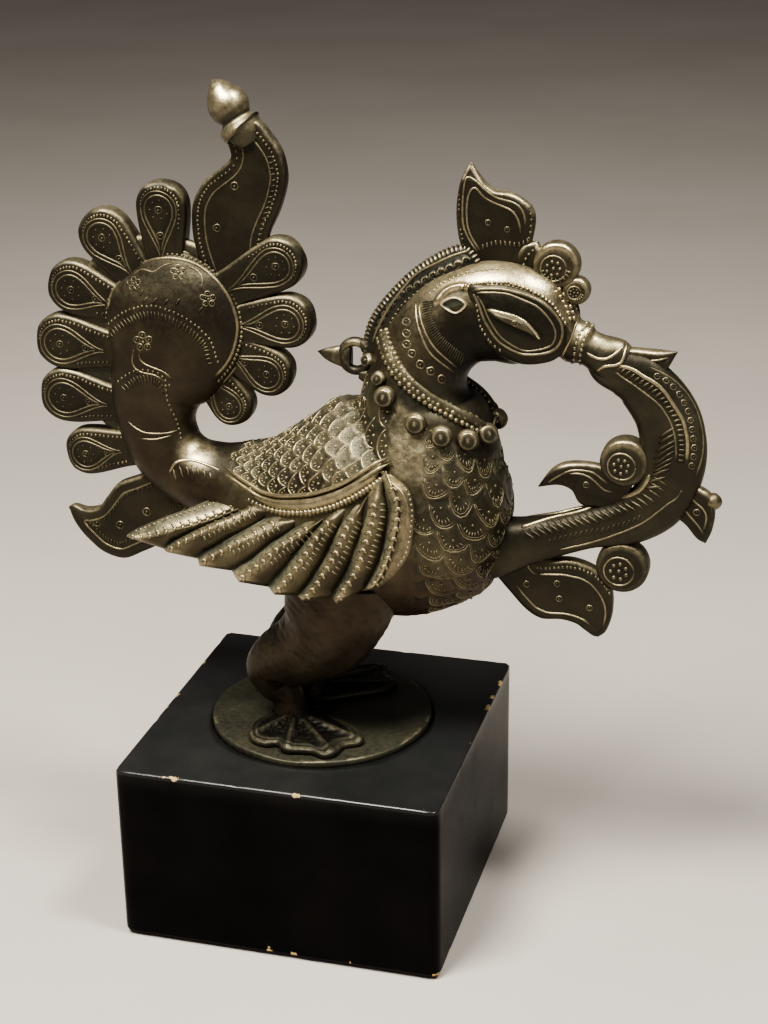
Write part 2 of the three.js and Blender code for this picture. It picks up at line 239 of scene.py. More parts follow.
def softened(points):
    # grid averaged with its neighbours in steps of 1-2-1, to about the width of the wear and painted shade in both
    # directions
    for axis in (0, 1):
        gap = max(np.median(np.linalg.norm(np.diff(points, axis=axis), axis=-1)), 0.1)
        for _ in range(int(np.clip(2*(wearLightAndShade["width"]/gap)**2, 1, 40))):
            if axis:
                points = (np.roll(points, 1, axis=1) + 2*points + np.roll(points, -1, axis=1))/4
            else:
                inner = (points[:-2] + 2*points[1:-1] + points[2:])/4
                points = np.concatenate([points[:1], inner, points[-1:]])
    return points


def wornLitAndShaded(points, marks, share):
    # what stands above the softened surface is rubbed bright and given a painted highlight, most where it faces up;
    # what lies below it is darkened as painted shade and greened as verdigris
    normals = gridNormals(points)
    height = np.sum((points - softened(points))*normals, axis=-1)
    rows = np.arange(len(points))
    height = height*np.clip(np.minimum(rows, rows[::-1])/5, 0, 1)[:, None]
    up = 0.45 + 0.55*np.clip(normals[..., 2] + 0.35, 0, 1)
    marks = marks.copy()
    marks[..., 0] += share*wearLightAndShade["bright"]*np.clip(height/wearLightAndShade["high"], 0, 1)*up
    marks[..., 1] += share*wearLightAndShade["dark"]*np.clip(-height/wearLightAndShade["low"], 0, 1)
    marks[..., 2] += share*wearLightAndShade["green"]*np.clip(-height/wearLightAndShade["low"], 0, 1)
    return np.clip(marks, 0, 1)


class Part:
    # closed surfaces gathered into one mesh
    def __init__(self):
        self.points = []
        self.quads = []
        self.fans = []
        self.marks = []
        self.count = 0

    def add(self, points, quads, fans, marks):
        corner = points[fans]
        volume = np.einsum("ij,ij->", corner[:, 0], np.cross(corner[:, 1], corner[:, 2]))
        for half in ((0, 1, 2), (0, 2, 3)):
            if len(quads):
                corner = points[quads[:, half]]
                volume += np.einsum("ij,ij->", corner[:, 0], np.cross(corner[:, 1], corner[:, 2]))
        if volume < 0:
            quads = quads[:, ::-1]
            fans = fans[:, ::-1]
        self.points.append(points)
        self.marks.append(marks)
        self.quads.append(quads + self.count)
        self.fans.append(fans + self.count)
        self.count += len(points)

    def addTube(self, points, marks, worn=1.0, both=False):
        # a closed grid with its wear, painted highlight and painted shade, and also its mirror across the mid plane if
        # `both`
        marks = wornLitAndShaded(points, marks, worn)
        ends = np.stack([marks[0].mean(axis=0), marks[-1].mean(axis=0)])
        marks = np.concatenate([marks.reshape(-1, 4), ends])
        self.add(*closedTube(points), marks)
        if both:
            self.add(*closedTube(points*[1, -1, 1]), marks)

    def addBothSides(self, points, marks, worn=1.0):
        self.addTube(points, marks, worn, True)

    def build(self, name, material, replaces=True):
        points = np.concatenate(self.points)*metre
        quads = np.concatenate(self.quads).astype(np.int32).reshape(-1, 4)
        fans = np.concatenate(self.fans).astype(np.int32).reshape(-1, 3)
        mesh = bpy.data.meshes.new(name)
        mesh.vertices.add(len(points))
        mesh.vertices.foreach_set("co", points.astype(np.float32).ravel())
        corners = np.concatenate([quads.ravel(), fans.ravel()])
        starts = np.concatenate([np.arange(len(quads))*4, len(quads)*4 + np.arange(len(fans))*3])
        mesh.loops.add(len(corners))
        mesh.loops.foreach_set("vertex_index", corners.astype(np.int32))
        mesh.polygons.add(len(starts))
        mesh.polygons.foreach_set("loop_start", starts.astype(np.int32))
        mesh.polygons.foreach_set("use_smooth", np.ones(len(starts), bool))
        mesh.update(calc_edges=True)
        mesh.validate()
        layer = mesh.attributes.new("finish", "FLOAT_COLOR", "POINT")
        layer.data.foreach_set("color", np.concatenate(self.marks).astype(np.float32).ravel())
        mesh.materials.append(material)
        piece = bpy.data.objects.new(name, mesh)
        bpy.context.scene.collection.objects.link(piece)
        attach(piece, "root")
        if replaces:
            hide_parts("bird")
        print(f"{name}: {2*len(quads) + len(fans)} triangles")
        return piece


def limb(rows, along, around, fullness=2.0):
    # section carried along a spine in the mid plane: rows are x, z, half depth, half width, side
    rows = [list(r) + [0]*(5 - len(r)) for r in rows]
    path = smoothCurve(rows, along)
    run = np.gradient(path[:, :2], axis=0)
    run = run/np.maximum(np.linalg.norm(run, axis=1, keepdims=True), 1e-9)
    c, s = sectionRing(around, path[:, 2].mean(), path[:, 3].mean(), fullness)
    x = path[:, :1] - run[:, 1:]*path[:, 2:3]*c
    z = path[:, 1:2] + run[:, :1]*path[:, 2:3]*c
    y = path[:, 4:5] + path[:, 3:4]*s
    return np.stack([x, y, z], axis=-1), path


def leaf(left, right, along, around, halfThick, fullness=3.0):
    # slab ruled between its two edge curves in the mid plane, with a rounded section
    a = smoothCurve(left, along)
    b = smoothCurve(right, along)
    middle = (a + b)/2
    half = (a - b)/2
    wide = np.linalg.norm(half, axis=1)
    c, s = sectionRing(around, wide.mean(), np.mean(halfThick), fullness)
    flat = middle[:, None, :] + half[:, None, :]*c[None, :, None]
    thick = halfThick if np.ndim(halfThick) == 0 else np.asarray(halfThick)[:, None]
    taper = np.clip(wide/(1.6*np.mean(halfThick)), 0.15, 1)[:, None]
    y = thick*taper*s[None, :]
    points = np.stack([flat[..., 0], y, flat[..., 1]], axis=-1)
    outline = np.concatenate([a, b[::-1][1:]])
    return points, outline


def dome(outline, heights, shares):
    # rings that shrink from an outline in the side drawing to its middle: share of the outline's
    # reach and distance off the mid plane for each ring
    middle = outline.mean(axis=0)
    ab = middle + (outline - middle)[None]*np.asarray(shares)[:, None, None]
    return placed(ab, np.asarray(heights)[:, None])


def lifted(points, lift):
    # every point moved along its normal by the relief's height
    return points + gridNormals(points)*lift[..., None]


def roundPetal(root, middle, radius, rootHalf, count=60):
    # edges of a petal: widens from its root to a full circle round its lobe's middle
    root, middle = np.asarray(root, float), np.asarray(middle, float)
    reach = np.linalg.norm(middle - root)
    way = (middle - root)/reach
    across = np.array([-way[1], way[0]])
    q = np.concatenate([np.linspace(0, reach, 24), reach + radius*np.sin(np.linspace(0, np.pi/2, 24)[1:])])
    grow = np.clip(q/reach, 0, 1)
    narrow = rootHalf + (radius - rootHalf)*(3*grow**2 - 2*grow**3)
    half = np.where(q < reach, narrow, np.sqrt(np.clip(radius**2 - (q - reach)**2, 0, None)))
    left = root + q[:, None]*way + half[:, None]*across
    right = root + q[:, None]*way - half[:, None]*across
    return left, right


def beadBall(radius, sides=6, tiers=3):
    # low ball of a few dozen faces, as a closed grid
    rise = (np.arange(tiers) + 0.5)*np.pi/tiers
    turn = np.arange(sides)*2*np.pi/sides
    x = np.sin(rise)[:, None]*np.cos(turn)
    y = np.sin(rise)[:, None]*np.sin(turn)
    z = np.broadcast_to(np.cos(rise)[:, None], x.shape)
    return np.stack([x, y, z], axis=-1)*radius*1.08


def addBeads(part, centres, radius, marks, tiers=3):
    # one small ball at each centre, all in the same part
    ball, quads, fans = closedTube(beadBall(1.0, 6, tiers))
    radius = np.broadcast_to(radius, len(centres))
    points = (centres[:, None] + ball[None]*radius[:, None, None]).reshape(-1, 3)
    shift = (np.arange(len(centres))*len(ball))[:, None, None]
    part.add(points, (quads + shift).reshape(-1, 4), (fans + shift).reshape(-1, 3),
             np.tile(np.asarray(marks, float), (len(points), 1)))


def settled(surface, places, sink=0.0, flat=False):
    # surface points on the near side at places of the side drawing (or of the mid plane, when flat):
    # the mean of the four nearest grid points, weighted by closeness
    normals = gridNormals(surface)
    near = surface[..., 1] < 0.5
    points, normals = surface[near], normals[near]
    facing = normals @ np.array([-0.25, -0.89, 0.37]) < 0.05
    ab = points[:, [0, 2]] if flat else drawn(points)
    ab = ab + 1e4*facing[:, None]
    places = np.asarray(places, float)
    gap = np.hypot(ab[:, 0] - places[:, :1], ab[:, 1] - places[:, 1:])
    pick = np.argpartition(gap, 4, axis=1)[:, :4]
    weight = 1/(np.take_along_axis(gap, pick, axis=1) + 0.05)[..., None]
    return np.sum((points - normals*sink)[pick]*weight, axis=1)/weight.sum(axis=1)


def wirePath(path, radius, around=8, flat=1.0):
    # round wire along a path in space, its section squared to the mid plane's normal
    run = np.gradient(path, axis=0)
    run = run/np.linalg.norm(run, axis=1, keepdims=True)
    side = np.cross(run, [0, 1.0, 0])
    side = side/np.maximum(np.linalg.norm(side, axis=1, keepdims=True), 1e-6)
    out = np.cross(side, run)
    turn = np.arange(around)*2*np.pi/around
    fromEnd = np.minimum(np.arange(len(path)), np.arange(len(path))[::-1])
    taper = np.clip((fromEnd + 0.9)/2, 0.45, 1)[:, None, None]*radius
    return path[:, None] + taper*(np.cos(turn)[None, :, None]*side[:, None] + flat*np.sin(turn)[None, :, None]*out[:, None])


def evened(path, passes=4):
    # path smoothed by averaging each point with its neighbours
    for _ in range(passes):
        path = np.concatenate([path[:1], (path[:-2] + 2*path[1:-1] + path[2:])/4, path[-1:]])
    return path


def borderRow(outline, inset, pitch):
    # places spaced along a closed outline, set in from it, without those crowded in its corners
    loop = rowOf(outline, pitch)
    centre = outline.mean(axis=0)
    run = np.gradient(loop, axis=0)
    run = run/np.maximum(np.linalg.norm(run, axis=1, keepdims=True), 1e-9)
    inward = np.stack([-run[:, 1], run[:, 0]], axis=1)
    if np.sum((centre - loop)*inward) < 0:
        inward = -inward
    places = loop + inward*inset
    gap, _ = nearCurve(places, outline)
    return places[np.abs(gap) > 0.94*inset]


def bothSides(points):
    return np.concatenate([points, points*[1, -1, 1]])


def rowOf(curve, pitch, offset=0.0):
    # places spaced evenly along a curve of the drawing, set off to its left
    rows = smoothCurve(curve, 200)
    length = np.linalg.norm(np.diff(rows, axis=0), axis=1).sum()
    rows = smoothCurve(rows, max(int(length/pitch), 2))
    run = np.gradient(rows, axis=0)
    run = run/np.linalg.norm(run, axis=1, keepdims=True)
    return rows + np.stack([-run[:, 1], run[:, 0]], axis=1)*offset


def addTraces(part, surface, curves, radius, marks, flat=False):
    # thin raised lines laid on a surface along curves of the side drawing, on both sides
    for curve in curves:
        path = evened(settled(surface, rowOf(curve, 1.0), radius*0.35, flat), 4)
        wire = wirePath(path, radius, 6)
        part.addBothSides(wire, finish(wire.shape[:2], *marks))


def addStrokes(part, surface, starts, ends, radius, marks, flat=False):
    # short raised strokes between paired places of the side drawing, on both sides
    t = np.linspace(0, 1, 4)[None, :, None]
    ways = np.asarray(starts, float)[:, None]*(1 - t) + np.asarray(ends, float)[:, None]*t
    paths = settled(surface, ways.reshape(-1, 2), -radius*0.15, flat).reshape(len(ways), 4, 3)
    for path in paths:
        wire = wirePath(path, radius, 5)
        part.addBothSides(wire, finish(wire.shape[:2], *marks))


def addRings(part, surface, middles, radius, thick, marks, flat=False):
    # small raised rings, each with a dot in its middle
    turn = np.linspace(0, 2*np.pi, 15)
    circle = np.stack([np.cos(turn), np.sin(turn)], axis=1)*radius
    for middle in middles:
        path = settled(surface, np.asarray(middle, float) + circle, thick*0.3, flat)
        run = np.vstack([path, path[1:2]])
        wire = wirePath(run, thick, 5)
        part.addBothSides(wire, finish(wire.shape[:2], *marks))
    dots = bothSides(settled(surface, middles, 0.0, flat))
    addBeads(part, dots, radius*0.42, marks)


# materials
bronzeLook = {
    "patina": (0.050, 0.041, 0.025), "olive": (0.120, 0.104, 0.060), "brass": (0.66, 0.565, 0.36),
    "black": (0.008, 0.007, 0.005), "verdigris": (0.095, 0.112, 0.082), "red": (0.050, 0.022, 0.012),
    "grain": 420.0, "mottle": 55.0}


class Nodes:
    # short way to lay shader nodes and join them
    def __init__(self, name):
        self.material = bpy.data.materials.new(name)
        self.material.use_nodes = True
        self.tree = self.material.node_tree
        self.shader = self.tree.nodes["Principled BSDF"]
        self.place = self.add("ShaderNodeTexCoord").outputs["Object"]

    def add(self, kind, **settings):
        node = self.tree.nodes.new(kind)
        for key, value in settings.items():
            setattr(node, key, value)
        return node

    def join(self, source, target):
        if hasattr(source, "outputs"):
            source = source.outputs[0]
        if isinstance(source, (int, float, tuple)):
            target.default_value = source if not isinstance(source, tuple) else (*source, 1)[:4]
        else:
            self.tree.links.new(source, target)

    def noise(self, scale, detail=4.0, roughness=0.6):
        node = self.add("ShaderNodeTexNoise")
        node.inputs["Scale"].default_value = scale
        node.inputs["Detail"].default_value = detail
        node.inputs["Roughness"].default_value = roughness
        self.join(self.place, node.inputs["Vector"])
        return node.outputs["Fac"]

    def math(self, operation, a, b=0.0, clamp=False):
        node = self.add("ShaderNodeMath", operation=operation, use_clamp=clamp)
        self.join(a, node.inputs[0])
        self.join(b, node.inputs[1])
        return node.outputs[0]

    def ramp(self, value, low, high, outLow=0.0, outHigh=1.0):
        node = self.add("ShaderNodeMapRange", interpolation_type="SMOOTHSTEP")
        for key, v in (("From Min", low), ("From Max", high), ("To Min", outLow), ("To Max", outHigh)):
            node.inputs[key].default_value = v
        self.join(value, node.inputs["Value"])
        return node.outputs["Result"]

    def mix(self, share, a, b):
        node = self.add("ShaderNodeMix", data_type="RGBA")
        self.join(share, node.inputs[0])
        self.join(a, node.inputs[6])
        self.join(b, node.inputs[7])
        return node.outputs[2]

    def bump(self, height, strength, distance, normal=None):
        node = self.add("ShaderNodeBump")
        node.inputs["Strength"].default_value = strength
        node.inputs["Distance"].default_value = distance
        self.join(height, node.inputs["Height"])
        if normal is not None:
            self.join(normal, node.inputs["Normal"])
        return node.outputs["Normal"]


def patinatedBronze():
    # old bronze: dark oily patina, grey-green in the hollows, brassy where hands have worn it and where a highlight is
    # painted, blackened where shade is painted
    n = Nodes("patinatedBronze")
    attribute = n.add("ShaderNodeAttribute", attribute_name="finish")
    split = n.add("ShaderNodeSeparateColor")
    n.join(attribute.outputs["Color"], split.inputs[0])
    bright, dark, green = split.outputs
    red = attribute.outputs["Alpha"]
    mottle = n.noise(bronzeLook["mottle"], 5)
    blotch = n.noise(22.0, 3)
    grain = n.noise(bronzeLook["grain"], 3, 0.7)
    fine = n.noise(1500.0, 2, 0.6)
    base = n.mix(n.ramp(mottle, 0.38, 0.68), bronzeLook["patina"], bronzeLook["olive"])
    base = n.mix(n.math("MULTIPLY", red, n.ramp(blotch, 0.3, 0.6, 0.55, 1.0)), base, bronzeLook["red"])
    hollow = n.math("MULTIPLY", green, n.ramp(grain, 0.3, 0.7, 0.55, 1.0), True)
    base = n.mix(hollow, base, bronzeLook["verdigris"])
    # the dark mark: blackened patina together with painted shade
    base = n.mix(n.math("MULTIPLY", dark, n.ramp(mottle, 0.25, 0.6, 0.8, 1.0), True), base, bronzeLook["black"])
    # the bright mark: worn brass together with painted highlight
    rubbedAndLit = n.math("ADD", bright, n.math("MULTIPLY", n.ramp(grain, 0.25, 0.75, -0.22, 0.16), bright))
    rubbedAndLit = n.ramp(rubbedAndLit, 0.12, 0.95)
    n.join(n.mix(rubbedAndLit, base, bronzeLook["brass"]), n.shader.inputs["Base Color"])
    metal = n.ramp(rubbedAndLit, 0.0, 0.8, 0.72, 1.0)
    n.join(n.math("SUBTRACT", metal, n.math("MULTIPLY", hollow, 0.4), True), n.shader.inputs["Metallic"])
    rough = n.math("ADD", n.ramp(rubbedAndLit, 0.0, 1.0, 0.42, 0.30), n.ramp(grain, 0.2, 0.8, -0.07, 0.10))
    n.join(n.math("ADD", rough, n.math("MULTIPLY", hollow, 0.16), True), n.shader.inputs["Roughness"])
    normal = n.bump(grain, 0.35, 0.0005)
    normal = n.bump(fine, 0.18, 0.0002, normal)
    n.join(normal, n.shader.inputs["Normal"])
    n.shader.inputs["Specular IOR Level"].default_value = 0.5
    return n.material


def simpleMaterial(name, low, high, roughness, grain, bumpSize, metallic=0.0):
    # mottled paint, cloth or iron: two tones by a noise, with a fine bump
    n = Nodes(name)
    tone = n.noise(grain*0.25, 4)
    n.join(n.mix(n.ramp(tone, 0.3, 0.7), low, high), n.shader.inputs["Base Color"])
    n.join(n.ramp(tone, 0.2, 0.8, roughness - 0.08, roughness + 0.08), n.shader.inputs["Roughness"])
    n.join(n.bump(n.noise(grain, 3), 0.3, bumpSize), n.shader.inputs["Normal"])
    n.shader.inputs["Metallic"].default_value = metallic
    return n.material


bronze = patinatedBronze()
print("bronze made")

# body and tail: one spine from the breast back over the rump and up into the fan's boss
spine = {
    "rows": [(91.2, 199, .5, .5), (88.5, 199, 17, 15), (82, 199, 29.5, 25.5), (72, 198, 39, 33.5),
             (58, 197.5, 46, 39), (42, 197.5, 50, 41), (22, 199, 48, 38.5), (2, 198.5, 39.5, 34),
             (-18, 198, 30.5, 28), (-35, 200.5, 23.5, 22), (-50, 204, 18.5, 17), (-62, 208.5, 16.5, 15.5),
             (-71.5, 217, 17.5, 15), (-76.5, 231, 19, 14.5), (-75.5, 246, 22.6, 14.5), (-69, 262, 30.5, 15.5),
             (-64.5, 277, 35.5, 15.5), (-63, 292, 31.5, 12.5), (-63, 304, 21, 8), (-63, 311.8, 7, 4),
             (-63, 313.5, .5, .5)],
    "split": -43.5, "density": 0.28, "bodyGrid": (262, 236), "bossGrid": (160, 170),
    "shoulder": (10.0, 13.0, 15.0, 5.0)}
scales = {"backRound": 26, "backLength": (4.3, 6.4), "breastRound": 27, "breastLength": 7.6, "step": 0.42,
          "backRims": [(0.90, 0.42)], "breastRims": [(0.92, 0.42), (0.80, 0.28)],
          "bandEdge": [(-44, 205), (-36, 201), (-30, 198), (-15, 193), (-3, 195), (5, 197), (22, 207), (35, 216), (43, 216)]}
necklace = {"middle": (54.0, 261.0), "slope": np.arctan2(-37, 52), "halfAlong": 30.0, "halfAcross": 27.0}
spinePath = smoothCurve(spine["rows"], 2400)
bodyShare = np.argmax(spinePath[:, 0] < spine["split"])/2399


def spineSurface(start, end, rows, columns):
    # each of the two pieces runs on past the seam and dives under the other
    # the limb formula over a stretch of the spine, with more columns over the back and on the near side
    at = np.linspace(start, end, rows)*2399
    path = np.stack([np.interp(at, np.arange(2400), column) for column in spinePath.T], axis=1)
    seam = bodyShare*2399
    past = at - seam if end < 1 else seam - at
    path[:, 2:] -= 1.6*np.clip(past/70, 0, 1)[:, None]**2
    run = np.gradient(path[:, :2], axis=0)
    run = run/np.linalg.norm(run, axis=1, keepdims=True)
    far = int(columns*0.42)
    near = columns - far
    even = np.concatenate([np.arange(far)*np.pi/far, np.pi + np.arange(near)*np.pi/near])
    turn = even + spine["density"]*np.sin(even)
    x = path[:, :1] - run[:, 1:]*path[:, 2:3]*np.cos(turn)
    z = path[:, 1:2] + run[:, :1]*path[:, 2:3]*np.cos(turn)
    y = path[:, 3:4]*np.sin(turn)
    points = np.stack([x, y, z], axis=-1)
    middle, long, wide, high = spine["shoulder"]
    hump = np.exp(-((x - middle)/long)**2 - (y/wide)**2)*np.clip((z - 215)/15, 0, 1)
    points[..., 2] += high*hump
    return points + 0.3*uneven(folded(points), 30, 1)[..., None]*gridNormals(points)


def folded(points):
    # both sides read as the near side, so that the relief is the same on either
    return np.stack([points[..., 0], -np.abs(points[..., 1]), points[..., 2]], axis=-1)


def scaleHollow(p, q):
    # overlapping scales: rows at whole p, places at whole q, each a disc whose far half shows and stands
    # over the next one. Gives how deep each point lies under its scale's rim, from 0 to 1
    found = np.zeros(p.shape, bool)
    hollow = np.zeros(p.shape)
    for ahead in (-1, 0, 1, 2):
        row = np.floor(p) + ahead
        shift = 0.5*(row % 2)
        place = np.round(q - shift) + shift
        u = (p - row)/1.12
        far = np.hypot(u, (q - place)/0.55)
        hit = (far < 1) & ~found & (u > -0.8)
        hollow = np.where(hit, 1 - np.clip(far/0.9, 0, 1)**3, hollow)
        found |= hit
    return hollow


def addScales(part, surface, chart, shown, rims, dashes, marks):
    # on the near side and mirrored, for every scale that shows: thin raised arcs round its far half, short
    # strokes inside them and a struck dot. Places are found on the surface by row and place in the chart
    near = (surface[..., 1] < 0) & (shown > 0.45)
    spots, rows, places = surface[near], chart[0][near], chart[1][near]
    row = np.round(rows)
    shift = 0.5*(row % 2)
    scalesShown = np.unique(np.stack([row, np.round(places - shift) + shift], axis=1), axis=0)
    turn = np.linspace(-1.3, 1.3, 8)
    arcs = [np.stack([share*np.cos(turn), share*np.sin(turn)], axis=1) for share, radius in rims]
    lean = np.linspace(-1.0, 1.0, dashes)
    reach = np.array([0.50, 0.62, 0.74])
    strokes = np.stack([np.cos(lean)[:, None]*reach, np.sin(lean)[:, None]*reach], axis=-1)
    wanted = np.concatenate(arcs + [strokes.reshape(-1, 2), [[0.2, 0.0]]])*[1.12, 0.55]
    dots = []
    for row, place in scalesShown:
        close = (np.abs(rows - row - 0.6) < 1.2) & (np.abs(places - place) < 0.9)
        if close.sum() < 24:
            continue
        gap = np.hypot(rows[close] - (row + wanted[:, :1]), 2*(places[close] - (place + wanted[:, 1:])))
        pick = np.argpartition(gap, 3, axis=1)[:, :3]
        miss = np.take_along_axis(gap, pick, axis=1)
        if miss[:len(turn)].max() > 0.35:
            continue
        weight = 1/(miss + 0.01)[..., None]
        path = (spots[close][pick]*weight).sum(axis=1)/weight.sum(axis=1)
        for k, (share, radius) in enumerate(rims):
            wire = wirePath(evened(path[k*len(turn):(k + 1)*len(turn)], 1), radius, 4)
            part.addBothSides(wire, finish(wire.shape[:2], *marks))
        begin = len(rims)*len(turn)
        for k in range(dashes):
            wire = wirePath(path[begin + 3*k:begin + 3*k + 3], 0.48, 3)
            part.addBothSides(wire, finish(wire.shape[:2], *marks))
        dots.append(path[-1])
    addBeads(part, bothSides(np.array(dots)), 0.75, marks)


def necklaceChart(points):
    # round the neck: turn about its axis, and how far below the necklace's plane
    slope = necklace["slope"]
    x = points[..., 0] - necklace["middle"][0]
    z = points[..., 2] - necklace["middle"][1]
    across = x*np.cos(slope) + z*np.sin(slope)
    below = x*np.sin(slope) - z*np.cos(slope)
    return np.arctan2(points[..., 1], across), below


def backChart(points):
    # along the spine in scale rows, growing towards the rump, and the turn round it
    table = spinePath[spinePath[:, 0] > -60][::-1]
    x, z, depth, width = table.T
    pitch = np.interp(x, [-45, 40], scales["backLength"])
    rows = np.cumsum(np.abs(np.gradient(x))/pitch)
    here = points[..., 0]
    high = points[..., 2] - np.interp(here, x, z)
    turn = np.arctan2(points[..., 1]/np.interp(here, x, width), -high/np.interp(here, x, depth))
    return -np.interp(here, x, rows), turn


def scaleCharts(points):
    # row and place of the back scales and of the breast scales, and how far each kind shows
    near = folded(points)
    ab = drawn(points)
    p, turn = backChart(near)
    back = (p + 0.10*uneven(near, 11, 61), turn*scales["backRound"]/(2*np.pi) + 0.08*uneven(near, 9, 62))
    angle, below = necklaceChart(near)
    breast = (below/scales["breastLength"] + 0.10*uneven(near, 13, 63),
              angle*scales["breastRound"]/(2*np.pi) + 0.07*uneven(near, 10, 64))
    worn = spot(ab, (41, 221), 11, 0.6)
    onBack = np.clip((43 - ab[..., 0])/3, 0, 1)*np.clip((ab[..., 0] + 43)/5, 0, 1)*(points[..., 2] > 196)*(1 - worn)
    edge = np.interp(ab[..., 0], *np.array(scales["bandEdge"], float).T)
    onBack = onBack*np.clip((ab[..., 1] - edge)/1.5, 0, 1)
    onBreast = np.clip((ab[..., 0] - 43)/3, 0, 1)*np.clip((ab[..., 1] - 136)/10, 0.25, 1)*(1 - worn)
    return back, breast, onBack, onBreast, worn


def plumage(points):
    # back scales by ring and turn, breast scales round the neck, a smooth worn shoulder between them:
    # the relief's height and the amounts for the bronze
    ab = drawn(points)
    a, b = ab[..., 0], ab[..., 1]
    back, breast, onBack, onBreast, worn = scaleCharts(points)
    backHollow = scaleHollow(*back)
    breastHollow = scaleHollow(*breast)
    high = points[..., 2]
    near = folded(points)
    rub = 0.62 + 0.30*uneven(near, 17, 3)
    sunk = backHollow*onBack + breastHollow*onBreast
    top = np.clip((high - 203)/22, 0, 1)
    rump = spot(ab, (-57, 217), 10, 0.7)
    front = np.clip((a - 60)/24, 0, 1)
    shoulder = np.clip((a - 33)/8, 0, 1)*np.clip((72 - a)/22, 0, 1)*np.clip((b - 203)/12, 0, 1)
    forward = np.clip((34 - a)/16, 0.35, 1)
    # painted highlight on the upper back, the rump patch and the shoulder; the smooth worn shoulder is rubbed bright
    bright = (0.16 + 0.14*rub)*top*onBack*forward + 0.42*worn + 0.80*rump + 0.08*onBreast*(1 - front)
    bright = bright + 0.28*shoulder
    brown = spot(ab, (0, 207), 22, 0.8)
    green = 0.40*top*(1 - 0.6*rub)*(1 - brown)*forward + 0.25*np.clip((a - 72)/14, 0, 1)*(b > 215)
    red = 0.55*np.clip((192 - high)/18, 0, 1) + 0.3*brown
    # painted shade in the scale hollows, underneath and on the front of the breast; the brown patch is a tone of the
    # metal
    dark = 0.18*sunk + 0.3*np.clip((168 - high)/20, 0, 1) + 0.18*front
    dark = dark + 0.25*brown
    return -scales["step"]*sunk, finish(sunk.shape, bright, dark*(1 - worn), green*(1 - worn), red)


def makeBody():
    points = spineSurface(0, bodyShare + 0.03, *spine["bodyGrid"])
    lift, marks = plumage(points)
    fade = np.clip((points[..., 0] - spine["split"] - 2)/10, 0, 1)[..., None]
    bossLift, bossMarks = bossRelief(points)
    surface = lifted(points, lift*fade[..., 0] + bossLift*(1 - fade[..., 0]))
    front = Part()
    front.addTube(surface, marks*fade + bossMarks*(1 - fade))
    back, breast, onBack, onBreast, worn = scaleCharts(points)
    addScales(front, surface, back, onBack*(fade[..., 0] > 0.4), scales["backRims"], 5, (0.52, 0.0, 0.08, 0.0))
    addScales(front, surface, breast, onBreast, scales["breastRims"], 7, (0.28, 0.0, 0.08, 0.0))
    front.build("bird_body", bronze)
    points = spineSurface(bodyShare - 0.03, 1, *spine["bossGrid"])
    lift, marks = bossRelief(points)
    boss = lifted(points, lift)
    back = Part()
    back.addTube(boss, marks)
    addBossWork(back, points)
    back.build("tail_boss", bronze)
    return surface


# the boss's engraving, in the side drawing
bossWork = {
    "rim": [(-100.5, 280), (-98, 291), (-90, 301.5), (-79, 308.5), (-66, 311), (-53, 309.5), (-42, 303),
            (-34, 292.5), (-30.5, 279), (-32, 268), (-36.5, 258), (-43, 250)],
    "innerRim": [(-96.6, 281), (-94, 290), (-87, 298), (-78, 304.5), (-66, 307), (-54, 305.5), (-45, 299.5),
                 (-38, 290.5), (-34.6, 279), (-36, 269), (-40, 260), (-46, 253)],
    "leftRow": [(-96, 286), (-98.6, 270), (-99.6, 248), (-97.4, 231), (-92, 217)],
    "archTop": [(-98, 273.4), (-85.1, 281.2), (-74.1, 283.4), (-63.5, 281.1), (-54.5, 276.4), (-47.2, 269.5), (-44.4, 260)],
    "archLow": [(-92.9, 247.2), (-86.3, 251.5), (-79.1, 253.1), (-72.1, 251.8), (-67.6, 246.9)],
    "stem": [[(-84.0, 262.4), (-85.2, 256.2), (-82.0, 252.3), (-74.5, 251.1), (-69.2, 248.2)],
             [(-81.3, 262.2), (-81.0, 257.4), (-75.9, 254.8), (-69.7, 252.9), (-66, 249.6)]],
    "lowLines": [[(-89.8, 228.3), (-83.7, 224.0), (-77.8, 223.0), (-69.8, 224.1), (-64.9, 226.2)],
                 [(-84.0, 220.2), (-76.3, 220.3), (-68.0, 223.2)]],
    "seam": [(-69.3, 246.6), (-68.9, 238.9), (-65.5, 229.9), (-64.0, 222.2)],
    "scrolls": [[(-83.8, 297.2), (-78.9, 301.3), (-73.1, 299.6), (-68.3, 303.4), (-63.7, 304.6)],
                [(-57.6, 304.0), (-52.3, 302.2), (-49.8, 298.0), (-50.9, 292.7)]],
    "flowers": [((-82.7, 294.0), 3.6), ((-61.2, 300.4), 4.0), ((-47.5, 288.8), 4.0), ((-79.0, 266.5), 5.0)],
    "strokes": [((-78.2, 285.2), (-75.8, 287.6)), ((-73.6, 285.2), (-71.4, 287.6)), ((-68.2, 284.8), (-66, 287.6)),
                ((-63, 285.2), (-60.4, 288)), ((-79.4, 288.4), (-78, 291.2)), ((-52.4, 282.4), (-49.8, 285))],
    "rump": [(-70, 204.5), (-67.8, 209), (-65.4, 210.8), (-59.2, 211.9), (-52, 210.4), (-45.4, 208)],
    "rumpFan": [[(-68, 206.5), (-65, 208.4), (-61.7, 209.2), (-59, 209.3), (-56.6, 208.6), (-53.4, 208), (-50.2, 207.2)],
                [(-66.4, 201), (-63, 202.8), (-60.2, 203.9), (-57.6, 204.4), (-55.2, 204.4), (-52.2, 204), (-49.4, 203.5)]]}


